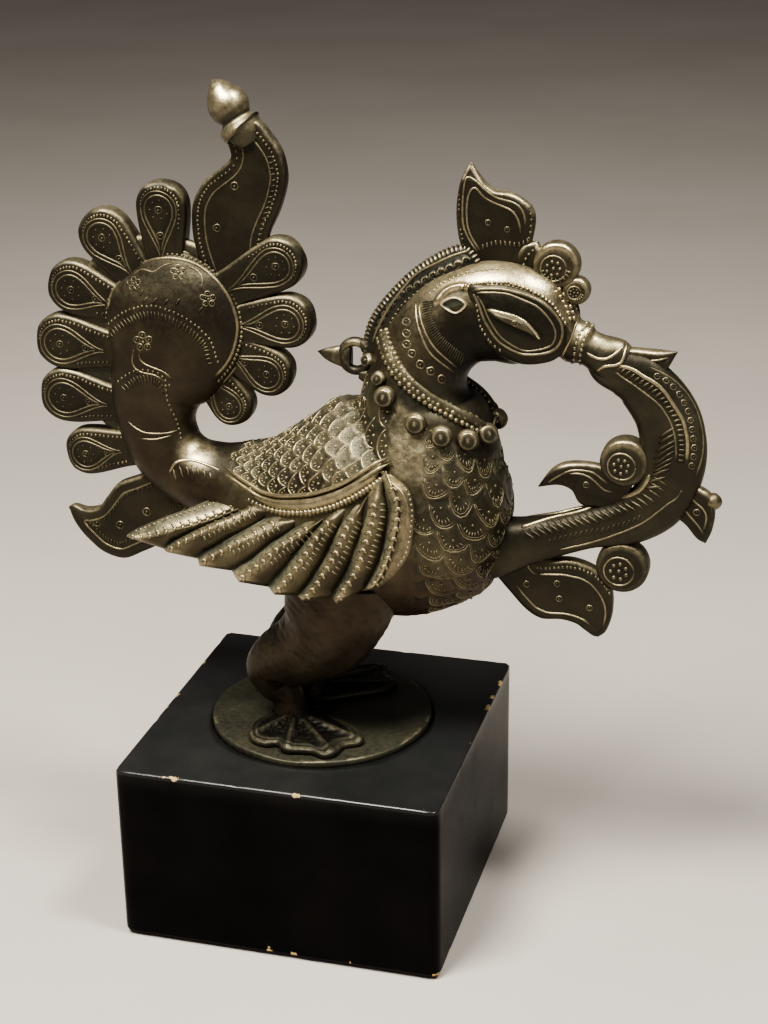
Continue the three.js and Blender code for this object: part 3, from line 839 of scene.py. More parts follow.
def bossRelief(points):
    # the boss's finish: a painted highlight at the top and on the rump patch, painted shade at the right, darker and
    # redder low down
    ab = drawn(points)
    low = np.clip((ab[..., 1] - 212)/26, 0, 1)
    rump = spot(ab, (-57, 216), 12, 0.7)
    upper = np.clip((ab[..., 1] - 275)/25, 0, 1)
    right = np.clip((ab[..., 0] + 66)/26, 0, 1)*low
    below = spot(ab, (-50, 199), 14, 0.8)
    bright = 0.62*rump + 0.14*below + 0.16*upper*(1 - right*0.5) + 0.02 + 0.05*uneven(points, 24, 72)
    marks = finish(low.shape, bright, 0.34 + 0.10*low - 0.2*upper + 0.3*right, 0.10*low + 0.3*spot(ab, (-46, 212), 9, 0.7), 0.4*(1 - upper))
    return np.zeros(low.shape), marks


def addBossWork(part, surface):
    # its two rims with beads between, beads over dashed arches, and flowers with stems
    gold = (0.12, 0.05, 0.08, 0.0)
    addTraces(part, surface, [bossWork["rim"], bossWork["innerRim"]], 0.85, gold)
    middle = (np.asarray(bossWork["rim"]) + np.asarray(bossWork["innerRim"]))/2
    addBeads(part, bothSides(evened(settled(surface, rowOf(middle, 2.2), -0.1), 6)), 0.95, (0.30, 0.1, 0.1, 0.0))
    addTraces(part, surface, bossWork["stem"] + bossWork["lowLines"] + bossWork["scrolls"], 0.5, gold)
    for name in ("archTop", "archLow", "seam", "leftRow"):
        addBeads(part, bothSides(settled(surface, rowOf(bossWork[name], 2.1), 0.1)), 0.68, (0.32, 0.1, 0.1, 0.0))
    for name in ("archTop", "archLow"):
        starts, ends = (rowOf(bossWork[name], 1.9, gap) for gap in (-2.2, -6.0))
        addStrokes(part, surface, starts, ends + [0.8, 0], 0.45, gold)
    addTraces(part, surface, [bossWork["rump"]], 0.8, (0.34, 0.1, 0.05, 0.0))
    addStrokes(part, surface, *bossWork["rumpFan"], 0.55, (0.28, 0.1, 0.05, 0.0))
    ends = np.array(bossWork["strokes"], float)
    addStrokes(part, surface, ends[:, 0], ends[:, 1], 0.55, gold)
    for middle, size in bossWork["flowers"]:
        turn = np.arange(5)*2*np.pi/5 + 0.4
        petals = np.asarray(middle) + np.stack([np.cos(turn), np.sin(turn)], axis=1)*size*0.62
        addRings(part, surface, petals, size*0.30, 0.42, gold)
        addBeads(part, bothSides(settled(surface, [middle], 0)), 0.75, (0.32, 0.1, 0.1, 0.0))


birdSurface = makeBody()


# neck and head
head = {
    "rows": [(54, 196, 16, 18), (53, 203, 28, 29), (52, 211, 33.5, 34.5), (51, 222, 35.5, 35.5), (49.5, 240, 32, 29.5), (47.5, 253, 24.5, 24.5), (49.5, 266, 21.5, 21.5),
             (56.5, 279, 20.5, 19.5), (68, 289.5, 21.5, 18), (83, 293.5, 22.5, 17.5), (97, 291.3, 21.8, 16.5),
             (108, 287.5, 17, 13), (117, 285, 8, 8), (121, 284, 1, 1)],
    "along": 205, "around": 164,
    "neckLines": [[(47.2, 293.6), (47.4, 286.7), (48.7, 279.9), (53.6, 269.8), (64.3, 262.6)],
                  [(48.9, 292.8), (49, 286.8), (51.2, 279.4), (56, 271.9), (65.2, 265.1)]],
    "hatch": [(52.8, 293), (52.8, 287), (54.4, 281.5), (58.6, 275.6), (66.4, 270)],
    "ringsBeside": [(43, 284), (43, 278.5), (43, 273.5), (45.3, 269.3), (49.1, 264.6), (53.7, 262.1), (58.6, 259)],
    "crownRow": [(36, 284), (41, 292), (48, 299), (56, 305), (64, 309)],
    "browBeads": [(53.7, 297.4), (59.2, 302.4), (64.3, 305.2), (69.3, 307.6), (76, 309.3), (85.2, 310.3)],
    "browEnd": [(109.4, 302.9), (112.7, 299.3), (114.9, 294.5), (115.8, 291.2)],
    "browRow": [(67.5, 300.4), (71.2, 302.1), (79.6, 303.5), (87.9, 303.7), (97.9, 300.9), (106.2, 296.4), (112.2, 288.4)],
    "eye": [(70, 300.7), (79.5, 302.2), (87.9, 302.2), (97.9, 299.2), (105.5, 294.8), (111.5, 287.2), (112.5, 280.2), (110.5, 274.2),
            (105.1, 270.2), (93.4, 268.7), (81.5, 273.2), (75, 281.2), (72.8, 290.2)],
    "frame": [(71.6, 299), (77.1, 300.2), (86.5, 300.2), (97.9, 297.6), (104.6, 293.8), (109.7, 288.2), (110.7, 282.4),
              (108.3, 276.3), (102.5, 273.4), (93.3, 272.6), (83.5, 277.2), (77.5, 285.5), (74.5, 293.2), (72.1, 297.8)],
    "innerFrame": [(73, 297.8), (78, 298.5), (86.3, 298.5), (93, 296.4), (99.7, 293.5), (104.7, 288.8), (107.7, 283.1),
                   (106, 277.2), (100.5, 275), (93.8, 274.2), (84.8, 278.8), (79, 286.8), (76.3, 293.2), (73.7, 296.8)],
    "lid": [(77.9, 291), (85, 289.8), (92.6, 287.7), (97.7, 283.5), (101.1, 279.4)],
    "lowLid": [(77.9, 291), (81.7, 287), (87.6, 284.1), (94.3, 281.7), (101.1, 279.4)],
    "eyeBeads": [(73.8, 292.7), (74.7, 288.5), (75.7, 283.5), (79.6, 277.4), (83.7, 274)],
    "ear": [(57.6, 292.7), (61.4, 295.5), (65.6, 296.2), (69.9, 293.4), (68.2, 290.4), (64.8, 288.4), (60.5, 289.9)],
    "earHood": [(56.4, 293.3), (59.7, 297.9), (63.1, 300.2), (67.3, 301.3), (70.7, 300.7)]}


def makeHead():
    points, path = limb(head["rows"], head["along"], head["around"])
    ab = drawn(points)
    a, b = ab[..., 0], ab[..., 1]
    _, below = necklaceChart(points)
    feathered = np.clip((below - 6)/3, 0, 1)
    coat, coatMarks = plumage(points)
    hood, _ = nearCurve(ab, smoothCurve(head["earHood"], 30))
    lift = rib(hood, 1.9, 1.5)
    rope, _ = nearCurve(ab, smoothCurve(head["browRow"], 60))
    brow = within(rope - 4.6, 4.6, 1.6)*np.clip((a - 56)/6, 0, 1)*np.clip((119 - a)/5, 0, 1)
    smooth = 1 - feathered
    upper = np.clip((b - 288)/12, 0, 1)
    napeHighlight = np.clip((b - 262)/26, 0, 1)*np.clip((66 - a)/12, 0, 1)
    # painted highlight on the top of the head, the nape and the ear hood's edge; the brow band is brighter
    bright = 0.40*brow*(0.85 + 0.15*uneven(points, 8, 65)) + 0.08 + 0.55*rib(hood, 1.6) + 0.20*upper + 0.16*napeHighlight
    # painted shade under the head on the throat and the lower neck, less towards the top
    throatShade = spot(ab, (72, 273), 25, 0.6)
    dark = 0.22 + 0.75*throatShade + 0.2*np.clip((262 - b)/16, 0, 1) - 0.3*upper
    green = 0.30*np.clip((264 - b)/14, 0, 1)*np.clip((b - 236)/6, 0, 1) + 0.15*upper*(1 - brow)
    marks = finish(lift.shape, bright, dark*(1 - brow), green, 0.12)
    marks = marks*smooth[..., None] + coatMarks*feathered[..., None]
    surface = lifted(points, lift*smooth + coat*feathered)
    part = Part()
    part.addTube(surface, marks, 0.8)
    gold = (0.16, 0.1, 0.08, 0.0)
    addTraces(part, surface, head["neckLines"], 0.55, gold)
    starts = smoothCurve(head["neckLines"][1], 30)
    addStrokes(part, surface, starts + [1.2, 0.2], smoothCurve(head["hatch"], 30) + [2.0, 1.0], 0.34, (0.08, 0.2, 0.1, 0.0))
    addRings(part, surface, head["ringsBeside"], 1.7, 0.45, gold)
    back, breast, onBack, onBreast, worn = scaleCharts(points)
    addScales(part, surface, breast, feathered*onBreast*(a > 40), scales["breastRims"], 7, (0.28, 0.0, 0.08, 0.0))
    addScales(part, surface, back, feathered*onBack, scales["backRims"], 5, (0.52, 0.0, 0.08, 0.0))
    shine = (0.62, 0.0, 0.0, 0.0)
    addBeads(part, bothSides(settled(surface, rowOf(head["browRow"], 1.75), 0.0)), 0.95, shine)
    addBeads(part, bothSides(settled(surface, rowOf(head["browBeads"], 2.0), 0.1)), 0.75, shine)
    for offset in (-1.1, 1.1):
        addBeads(part, bothSides(settled(surface, rowOf(head["browEnd"], 2.1, offset), 0.1)), 0.95, shine)
    addBeads(part, bothSides(settled(surface, rowOf(head["crownRow"], 2.2), 0.2)), 0.7, gold)
    part.build("neck_and_head", bronze)
    return surface


def makeEyes():
    # bulging almond with two frame wires, and the lens between its lids raised on a dark field
    part = Part()
    outline = smoothCurve(head["eye"], 84, closed=True)[:-1]
    front = 40
    shares = np.concatenate([np.linspace(0.02, 1.0, front), [0.99, 0.6, 0.1]])
    bulge = 13.4 + 7.0*np.sqrt(np.clip(1 - (shares[:front]*0.93)**2, 0, 1))
    points = dome(outline, np.concatenate([bulge, [11.0, 7.0, 6.0]]), shares)
    ab = drawn(points)
    share = np.broadcast_to(shares[:, None], points.shape[:2])
    facing = (np.arange(len(shares)) < front)[:, None]
    lens = smoothCurve(head["lid"] + head["lowLid"][::-1][1:-1], 60, closed=True)
    depth = np.where(insideOf(ab, lens), 1, -1)*np.abs(nearCurve(ab, lens)[0])
    raised = np.clip((depth + 0.5)/2.0, 0, 1)
    upper = np.clip((ab[..., 1] - 284)/10, 0, 1)
    height = (1.5*raised - 0.7*(1 - raised)*within(share, 0.80, 0.1))*facing
    # painted highlight: the lens and the field lighter towards the top
    bright = 0.22*raised**2*(0.45 + 0.55*upper) + 0.05*upper
    surface = points + np.array([0.0, -1.0, 0.0])*height[..., None]
    part.addBothSides(surface, finish(share.shape, bright, 0.80 - 0.6*raised, 0.06, 0.0), 0.5)
    addTraces(part, surface, [head["lid"]], 0.85, (0.62, 0.0, 0.05, 0.0))
    wire = (0.10, 0.15, 0.05, 0.0)
    addTraces(part, surface, [head["frame"]], 0.75, wire)
    addTraces(part, surface, [head["innerFrame"]], 0.55, wire)
    addBeads(part, bothSides(settled(points, rowOf(head["eyeBeads"], 1.9), -0.1)), 0.72, (0.42, 0.2, 0.0, 0.0))
    addRings(part, surface, [(89.9, 285.4)], 1.2, 0.35, (0.2, 0.3, 0.0, 0.0))
    ear = smoothCurve(head["ear"], 40, closed=True)[:-1]
    earShares = np.concatenate([np.linspace(0.06, 1.0, 12), [0.95, 0.4]])
    earPoints = dome(ear, np.concatenate([np.full(12, 16.6), [13.0, 9.0]]), earShares)
    rim = np.where(np.arange(14) < 12, rib(earShares - 0.84, 0.16, 1.3), 0)[:, None]
    rimLift = np.broadcast_to(rim, earPoints.shape[:2])
    part.addBothSides(earPoints + np.array([0.0, -1.0, 0.0])*rimLift[..., None],
                      finish(rimLift.shape, 0.65*rimLift/1.3 + 0.1, 0.1, 0.8, 0.0))
    part.build("eyes_and_ears", bronze)


headSurface = makeHead()
makeEyes()

# mane, crest leaf, comb and the little loop behind the neck
mane = {"outer": [(27, 262), (24, 270), (25, 279), (28.5, 288), (35.5, 297.5), (45, 307.5), (56.5, 316), (66, 320.4), (72, 320.6), (78, 314)],
        "inner": [(48, 262), (46, 270), (45, 279), (47, 286), (52, 290), (58, 294), (66, 298), (72, 302), (77, 306), (79, 311)],
        "row": [(30.4, 280), (35.5, 290), (42, 297), (48.1, 301.2), (55.4, 306.1), (61.7, 309.3), (71.8, 314.5)],
        "ridgeLine": [(27.5, 274), (31, 283), (38, 295), (47.3, 306.3), (55.8, 311.6), (64.3, 315.9), (71.4, 318.4)],
        "dots": [(37, 286), (42, 293), (49, 299.0), (57, 303)]}
crestLeaf = {"left": [(77, 308), (72, 316), (68, 322), (66.6, 328), (66.1, 335), (66.6, 342), (68, 349), (70.2, 354), (72, 356.6)],
             "right": [(92, 308), (96.5, 318), (98.6, 326), (99.6, 333), (98.6, 338.2), (94.2, 342.2), (88.8, 344.6), (83, 345.2),
                       (78, 348.4), (72, 356.6)],
             "wires": [[(75.2, 317.7), (71.6, 322.3), (68.8, 328), (68.1, 334), (68.4, 342.6), (69.4, 349.2), (71.1, 350.2),
                        (74.4, 347.8), (78, 344.5), (82.7, 341.5), (88.6, 340.3), (92.1, 338.8), (94.5, 336), (95.4, 330.6)],
                       [(76.1, 318.4), (73.6, 321.8), (70.8, 327.5), (69.9, 334), (70.6, 342), (73.3, 346), (76.8, 342.1),
                        (81, 339.7), (86.3, 337.9), (90.4, 335.8), (92.5, 331.8), (93.4, 327)]],
             "beads": [[(97.0, 338.0), (97.9, 332), (97.0, 325)], [(66.9, 342), (66.6, 332), (68.6, 321)]],
             "fringe": [(77, 321.5), (82.3, 323.5), (87.6, 323.4), (92.9, 323.4), (96.2, 325.2)],
             "rings": [(79.3, 330.9), (87.5, 328.4)],
             "scrolls": [((109.5, 315.2), 9.8, 4.2), ((118, 304.5), 5.4, 3.4)],
             "mini": {"left": [(92.5, 310), (92.8, 318.5), (95.5, 323), (101, 324.5)],
                      "right": [(97.5, 309), (101, 314), (102.6, 319.5), (101, 324.5)]}}


def darkLeaf(lift, edge, upward, points, dark=0.72, lit=0.30, brightEdge=0.6):
    # finish of the thin dark leaves: wires a little rubbed, a painted highlight on edges that face up, and less dark,
    # as painted light, where the surface faces up
    rubbedAndLit = np.clip(lift/0.8, 0, 1)*(0.75 + 0.35*uneven(points, 12, 77))
    worn = brightEdge*upward*np.clip(1 - edge/2.4, 0, 1)*(0.8 + 0.3*uneven(points, 15, 78))
    return finish(lift.shape, lit*rubbedAndLit + worn, dark - 0.35*upward, 0.06 + 0.22*upward, 0.12)


def makeMane():
    points, outline = leaf(mane["outer"], mane["inner"], 165, 74, 3.4, 3.0)
    away, along = nearCurve(points[..., [0, 2]], smoothCurve(mane["outer"], 80))
    away = np.abs(away)
    points[..., 1] *= 1 + 1.9*np.clip(away/16, 0, 1)**1.6
    ab = drawn(points)
    lift = 0.9*rib(repeat(along, 2.1), 0.85)*within(away - 0.9, 1.3, 0.8)
    rowAway, rowAlong = nearCurve(ab, smoothCurve(mane["row"], 60), False)
    lift = np.maximum(lift, crescentRow(rowAway, rowAlong, 4.1, 1.6, 0.6, 0.8, -1))
    lift = np.maximum(lift, 0.7*rib(np.hypot(rowAway - 0.4, repeat(rowAlong, 4.1)), 0.7))
    lit = np.clip(lift/0.7, 0, 1)*(0.8 + 0.3*uneven(points, 12, 77))
    surface = lifted(points, lift)
    part = Part()
    part.addTube(surface, finish(lit.shape, 0.04 + 0.12*lit, 0.62, 0.3*(1 - lit), 0.1))
    addTraces(part, surface, [mane["ridgeLine"]], 0.7, (0.16, 0.1, 0.1, 0.0))
    addBeads(part, bothSides(settled(surface, rowOf(mane["dots"], 2.1), 0.1)), 0.7, (0.32, 0.1, 0.1, 0.0))
    part.build("mane", bronze)


def addLeaf(part, left, right, along, around, thick, brightEdge=0.6, lit=0.1, dark=0.7):
    # leaf with a rolled rim round a slightly sunk face; gives the surface to lay wires on
    points, outline = leaf(left, right, along, around, thick, 3.4)
    edge = np.abs(nearCurve(points[..., [0, 2]], outline)[0])
    lift = 0.6*rib(edge - 0.9, 1.5) - 0.45*np.clip((edge - 3)/2.5, 0, 1)
    upward = np.clip(gridNormals(points)[..., 2]*1.5, 0, 1)
    surface = lifted(points, lift)
    part.addTube(surface, darkLeaf(lift, edge, upward, points, dark, lit, brightEdge), 0.6)
    return surface, outline


def makeCrest():
    part = Part()
    gold = (0.14, 0.1, 0.08, 0.0)
    surface, _ = addLeaf(part, crestLeaf["left"], crestLeaf["right"], 84, 60, 3.0, 0.9)
    addTraces(part, surface, crestLeaf["wires"], 0.55, gold)
    for row in crestLeaf["beads"]:
        addBeads(part, bothSides(settled(surface, rowOf(row, 1.9), 0.2)), 0.72, (0.2, 0.2, 0.1, 0.0))
    starts = rowOf(crestLeaf["fringe"], 1.7)
    addStrokes(part, surface, starts, starts + [0.3, -2.2], 0.42, (0.3, 0.1, 0.1, 0.0))
    addRings(part, surface, crestLeaf["rings"], 1.1, 0.35, gold)
    mini, outline = addLeaf(part, crestLeaf["mini"]["left"], crestLeaf["mini"]["right"], 36, 32, 3.4, 0.9)
    dots = settled(mini, rowOf([(94.4, 311), (95.6, 316), (98.6, 320)], 2.0), 0.1)
    addBeads(part, bothSides(dots), 0.7, (0.3, 0.1, 0.1, 0.0))
    for middle, radius, thick in crestLeaf["scrolls"]:
        disc = addScroll(part, middle, radius, thick, 0, 56, 18, (0.55, 0.45, 0.1, 0.0))
        face = np.asarray(middle) - [0.0, 0.4]
        turn = np.radians(np.arange(200, 345, 18))[:, None]
        ray = np.hstack([np.cos(turn), np.sin(turn)])*radius
        addStrokes(part, disc, face + ray*0.50, face + ray*0.72, 0.42, (0.3, 0.1, 0.1, 0.0), True)
    part.build("crest", bronze)


def addScroll(part, middle, radius, thick, spin, columns=56, rows=20, marks=(0.4, 0.45, 0.1, 0.0)):
    # round boss with a rolled rim, on both faces: a wire ring round a flower of struck dots
    shares = np.concatenate([np.linspace(0.04, 1, rows), np.linspace(1, 0.04, rows)[1:]])
    face = np.concatenate([-np.ones(rows), np.ones(rows - 1)])
    swell = np.sqrt(np.clip(1 - shares**6, 0, 1))
    turn = np.arange(columns)*2*np.pi/columns
    x = middle[0] + radius*shares[:, None]*np.cos(turn)
    z = middle[1] + radius*shares[:, None]*np.sin(turn)
    y = np.broadcast_to((face*thick*swell)[:, None], x.shape)
    points = np.stack([x, y, z], axis=-1)
    r = radius*shares[:, None] + 0*x
    lift = rib(r - radius*0.88, 1.5, 1.0) - 0.3*np.clip((radius*0.75 - r)/2, 0, 1)
    bright, dark, green, red = marks
    # painted highlight: the upper half of the disc is brighter
    up = np.clip((z - middle[1])/radius, 0, 1)
    surface = lifted(points, lift)
    lit = np.clip(lift, 0, 1)
    part.addTube(surface, finish(lit.shape, bright*(lit*0.3 + up*0.8), dark, green, red), 0.7)
    gold = (0.16, 0.1, 0.08, 0.0)
    turn = np.linspace(0, 2*np.pi, 40)
    heart = np.asarray(middle, float) - [radius*0.10, radius*0.12]
    ring = heart + np.stack([np.cos(turn), np.sin(turn)], axis=1)*radius*0.58
    addTraces(part, surface, [ring], 0.5, gold, True)
    turn = np.arange(7)*2*np.pi/7 + spin
    dots = heart + np.stack([np.cos(turn), np.sin(turn)], axis=1)*radius*0.30
    addBeads(part, bothSides(settled(surface, np.vstack([dots, [heart]]), 0.1, True)), radius*0.085, (0.35, 0.1, 0.1, 0.0))
    return surface


neckLoop = {"outer": [(30, 256), (20, 258.5), (10, 262.5), (2.5, 269), (10, 272.5), (18, 276), (26, 275.5), (36, 270)],
            "hole": (20.0, 268.4), "holeRadius": 4.0}


def makeNeckLoop():
    # pointed lug with a round eye: a ring carried round the hole, and a spur behind it
    part = Part()
    turn = np.arange(72)*2*np.pi/72
    section = np.arange(20)*2*np.pi/20
    cx, cz = neckLoop["hole"]
    radius = neckLoop["holeRadius"] + 2.3
    x = cx + (radius + 2.1*np.cos(section)[None, :])*np.cos(turn)[:, None]
    z = cz + (radius*1.05 + 2.1*np.cos(section)[None, :])*np.sin(turn)[:, None]
    y = np.broadcast_to(2.7*np.sin(section)[None, :], x.shape)
    index = np.arange(72*20).reshape(72, 20)
    nextRow, nextCol = np.roll(index, -1, axis=0), np.roll(index, -1, axis=1)
    quads = np.stack([index, nextRow, np.roll(nextRow, -1, axis=1), nextCol], axis=-1).reshape(-1, 4)
    points = np.stack([x, y, z], axis=-1)
    # painted highlight on the upper half of the ring
    up = np.clip(np.sin(turn), 0, 1)[:, None]*np.abs(np.sin(section))[None, :]
    part.add(points.reshape(-1, 3), quads, np.zeros((0, 3), int), finish(x.shape, 0.15 + 0.3*up, 0.6, 0.1, 0.0).reshape(-1, 4))
    spur, _ = leaf([(18, 274), (12, 272.6), (6, 271), (2.2, 269.4)], [(18, 262), (12, 263.4), (6, 266), (2.2, 269.4)], 40, 28, 2.6, 2.4)
    part.addTube(spur, finish(spur.shape[:2], 0.15, 0.65, 0.1, 0.0))
    for rows in ([(23, 273.5, 3.2, 3.0), (28, 274, 3.4, 3.2), (34, 271, 4, 4)], [(22, 260.5, 2.6, 3.0), (28, 259.5, 4.5, 3.6), (36, 262, 6, 5)]):
        arm, _ = limb(rows, 24, 24)
        part.addTube(arm, finish(arm.shape[:2], 0.12, 0.5, 0.2, 0.0))
    part.build("neck_loop", bronze)


makeMane()
makeCrest()
makeNeckLoop()

# necklace: three rows of beads on a band round the neck, and round knobs hanging below it
collar = {
    "band": [(28, 289), (30.5, 284), (33.4, 276), (36, 267.5), (40.5, 259), (48.5, 251.4), (58, 246), (67, 242.2), (73.5, 240),
             (79, 236.5)],
    "knobs": [(27, 265.8), (31, 257.4), (33.8, 249), (47, 238), (58.4, 232.9), (70, 232.4), (78.5, 236.5)],
    "knobRadius": 4.9}


def addKnob(part, centre, out, radius, squareness):
    # round knob on the axis `out`, with a struck ring and dot on its face
    side = np.cross(out, [0, 0, 1.0])
    side = side/np.linalg.norm(side)
    up = np.cross(side, out)
    rise = np.linspace(0.06, np.pi - 0.06, 22)
    around = np.arange(22)*2*np.pi/22
    ring = rib(rise - 0.72, 0.20, 0.13) - 0.08*within(rise - 0.45, 0.12, 0.1) + rib(rise, 0.22, 0.12)
    r = radius*(1 + ring[:, None])*(1 + squareness*np.cos(4*around)[None]*np.sin(rise)[:, None])
    spread = r*np.sin(rise)[:, None]
    points = centre + (r*np.sign(np.cos(rise))[:, None]*np.abs(np.cos(rise)[:, None])**0.7*0.66)[..., None]*out \
        + spread[..., None]*(np.cos(around)[:, None]*side + np.sin(around)[:, None]*up)[None]
    lit = np.broadcast_to(np.clip(ring*8, 0, 1)[:, None], points.shape[:2])
    # painted highlight on the knob's top and painted shade below it
    upper = np.clip((points[..., 2] - centre[2])/radius, -1, 1)
    face = np.clip(np.cos(rise), 0, 1)[:, None]
    part.addTube(points, finish(lit.shape, 0.08 + 0.06*face + 0.30*lit*face + 0.18*upper, 0.40 - 0.3*upper, 0.15, 0.1), 0.5)


def makeNecklace(surface):
    part = Part()
    path = evened(settled(surface, rowOf(collar["band"], 1.2), -0.6), 20)
    path[-1, 1] = path[0, 1] = 0.0
    band = wirePath(path, 3.5, 12, 0.45)
    part.addBothSides(band, finish(band.shape[:2], 0.08, 0.4, 0.15, 0.0))
    draw = np.random.default_rng(5)
    for offset in (-2.3, 0.0, 2.3):
        rows = rowOf(collar["band"], 2.4, offset)
        centres = evened(settled(surface, rows, -1.5 if offset == 0 else -1.0), 4)
        centres = centres + draw.normal(scale=0.16, size=centres.shape)
        addBeads(part, bothSides(centres), np.tile(draw.uniform(1.12, 1.36, len(centres)), 2), (0.42, 0.0, 0.05, 0.0), 4)
    part.build("necklace", bronze)
    knobs = Part()
    for k, place in enumerate(collar["knobs"]):
        at = settled(surface, [place], 0)[0]
        out = np.array([0.28*(at[0] - 50)/30, -1.0, 0.12])*[1, abs(at[1])/20, 1]
        out = out/np.linalg.norm(out)
        for sign in (1, -1):
            flip = np.array([1, sign, 1])
            addKnob(knobs, (at + out*1.9)*flip, out*flip, collar["knobRadius"]*(0.68 if k < 2 else 1.0), 0.07 if k < 2 else 0.0)
    knobs.build("bells", bronze)


makeNecklace(headSurface)
print("necklace made")

# bill, and the garland that hangs from it and curls back to the breast
bill = {"rows": [(106, 287, 13.5, 12), (110, 285.5, 12, 11.3), (113, 284.5, 12, 9.5), (115, 283.5, 9.8, 8.2),
                 (118.5, 281.8, 9.4, 8.2), (121, 280.8, 9.6, 8.4), (123.5, 279.6, 8.0, 7.0), (127, 278, 8.2, 7.2),
                 (131, 276, 9.6, 7.8), (134.5, 274.2, 10.4, 7.6), (137, 273, 9.6, 6.8), (140, 271, 7.2, 6)],
        "ring": [(119.9, 292.4), (117.3, 288.3), (115.2, 282.5), (112.6, 276.7), (111.6, 272), (113.3, 268.7)],
        "beads": [[(122.8, 290.4), (121.6, 288.1), (119.9, 286.2), (118.3, 282.5), (116.8, 278), (116.6, 273)],
                  [(125, 289), (123.4, 286.4), (121.6, 283), (120.2, 279), (119.4, 274.6), (119.8, 271)]],
        "lip": [(139, 282.2), (137.7, 280.1), (133.5, 275.9), (129.7, 273.9), (125.9, 274.2), (122, 276.2)],
        "mouth": [(140.1, 282.3), (138.4, 276.2), (136.4, 272.1), (127.7, 269.8), (126.2, 262.5)]}


def makeBill():
    points, path = limb(bill["rows"], 84, 60)
    ab = drawn(points)
    # painted highlight on the top of the bill and painted shade below
    up = np.clip((ab[..., 1] - 274)/9, 0, 1)
    part = Part()
    part.addTube(points, finish(up.shape, 0.62*up*up + 0.04, 0.6*(1 - up), 0.12, 0.1), 0.7)
    gold = (0.30, 0.1, 0.08, 0.0)
    addTraces(part, points, [bill["ring"]], 0.9, gold)
    addTraces(part, points, [bill["lip"], bill["mouth"]], 0.75, gold)
    for row in bill["beads"]:
        addBeads(part, bothSides(settled(points, rowOf(row, 1.9), 0.1)), 0.85, (0.5, 0.1, 0.05, 0.0))
    part.build("bill", bronze)


garland = {
    "rows": [(126, 276, 5, 4.5), (132, 272, 8.5, 6), (140, 269.5, 10.5, 6.4), (148, 265, 12.3, 6.8), (157.5, 253, 13.6, 7),
             (161.8, 239, 14.2, 7), (161.5, 225, 13.5, 7), (155.5, 211, 12.5, 7), (143, 201.5, 10.8, 7), (127, 197, 9.4, 7),
             (111, 191.5, 9.6, 7.6), (98, 187.5, 11, 8.6), (86, 184, 14, 10), (76, 182, 15, 11)],
    "along": 210, "around": 64,
    "ridge": [(134.7, 271.7), (141.3, 270.8), (146.8, 267.5), (152.4, 264.8), (156.9, 260.3), (160.3, 255.4),
              (163.6, 250.8), (165.4, 246.5), (166.4, 241.5), (166.7, 236.5), (166.7, 231.5)],
    "inner": [(133, 269.7), (138.6, 266.1), (144.2, 262.5), (150.9, 257.9), (155.4, 253.7), (158.9, 248.2),
              (160.8, 243.2), (161.6, 238.2), (161.8, 233.5), (161.7, 230.5)],
    "barbRoots": [(160.3, 245.8), (160.8, 243), (161.1, 240.1), (161, 237.7), (160.7, 235.2), (160.5, 232.3),
                  (160, 229.8), (159, 227), (157.8, 223.3), (156, 218.6)],
    "barbEnds": [(155.6, 241.8), (155.3, 239.2), (154.6, 235.5), (154.1, 232.6), (154.2, 229.7), (154.1, 227.8),
                 (153.8, 226), (152.5, 223.7), (151.8, 220.8), (150.4, 217.8)],
    "crescents": [(152.7, 268.2), (157.1, 266.3), (162.1, 261.6), (165.6, 255.6), (167.5, 250.6), (169, 242), (169.8, 236.9),
                  (169, 229.2)],
    "outer": [(149.4, 272), (159.4, 267.9), (167.3, 260.6), (171.5, 252.4), (173.6, 242.8), (173.4, 233.6), (171, 224.6)],
    "lowCrest": [(151.3, 223.6), (149.7, 219.8), (148.2, 217.1), (145.8, 214.9), (141.1, 212.4), (134.8, 210.1),
                 (129.2, 207.8), (124.4, 205.2), (118.8, 203), (110.7, 200.4), (102.5, 197), (95, 193.6)],
    "lowRow": [(106.8, 186.5), (115, 189.9), (123.1, 192.5), (131.2, 194.6), (138.4, 197.5), (146, 201.5)],
    "lowEdge": [(112, 184.4), (128, 190), (143.2, 197.5), (151, 202.6), (158.7, 210.2), (163.3, 214), (165.1, 217.6)]}


def makeGarland():
    points, path = limb(garland["rows"], garland["along"], garland["around"], 2.6)
    ab = drawn(points)
    up = np.clip((ab[..., 0] - 150)/20, 0, 1)*np.clip((ab[..., 1] - 225)/30, 0, 1)
    marks = finish(up.shape, 0.03 + 0.08*up, 0.62 - 0.2*up, 0.12 + 0.2*up, 0.1)
    part = Part()
    part.addTube(points, marks, 0.6)
    gold = (0.10, 0.1, 0.08, 0.0)
    ridge, inner = (smoothCurve(garland[name], 25) for name in ("ridge", "inner"))
    addTraces(part, points, [garland["ridge"]], 1.0, (0.24, 0.05, 0.08, 0.0))
    addTraces(part, points, [garland["inner"], garland["outer"], garland["lowEdge"]], 0.5, gold)
    addStrokes(part, points, ridge*0.85 + inner*0.15, ridge*0.12 + inner*0.88 + [0, 0.8], 0.62, gold)
    roots, ends = (np.array(garland[name], float) for name in ("barbRoots", "barbEnds"))
    addStrokes(part, points, roots, roots + 1.25*(ends - roots), 0.7, (0.08, 0.1, 0.10, 0.1))
    addRings(part, points, rowOf(garland["crescents"], 3.6), 1.25, 0.40, gold)
    addTraces(part, points, [garland["lowCrest"]], 1.15, (0.22, 0.0, 0.05, 0.0))
    starts = rowOf(garland["lowCrest"], 2.8, 1.5)
    addStrokes(part, points, starts, starts + [6.4, -3.9], 0.55, (0.16, 0.1, 0.08, 0.0))
    starts = rowOf(garland["lowRow"], 2.3)
    addStrokes(part, points, starts, starts + [1.6, 3.0], 0.45, (0.03, 0.2, 0.1, 0.0))
    part.build("garland_stem", bronze)


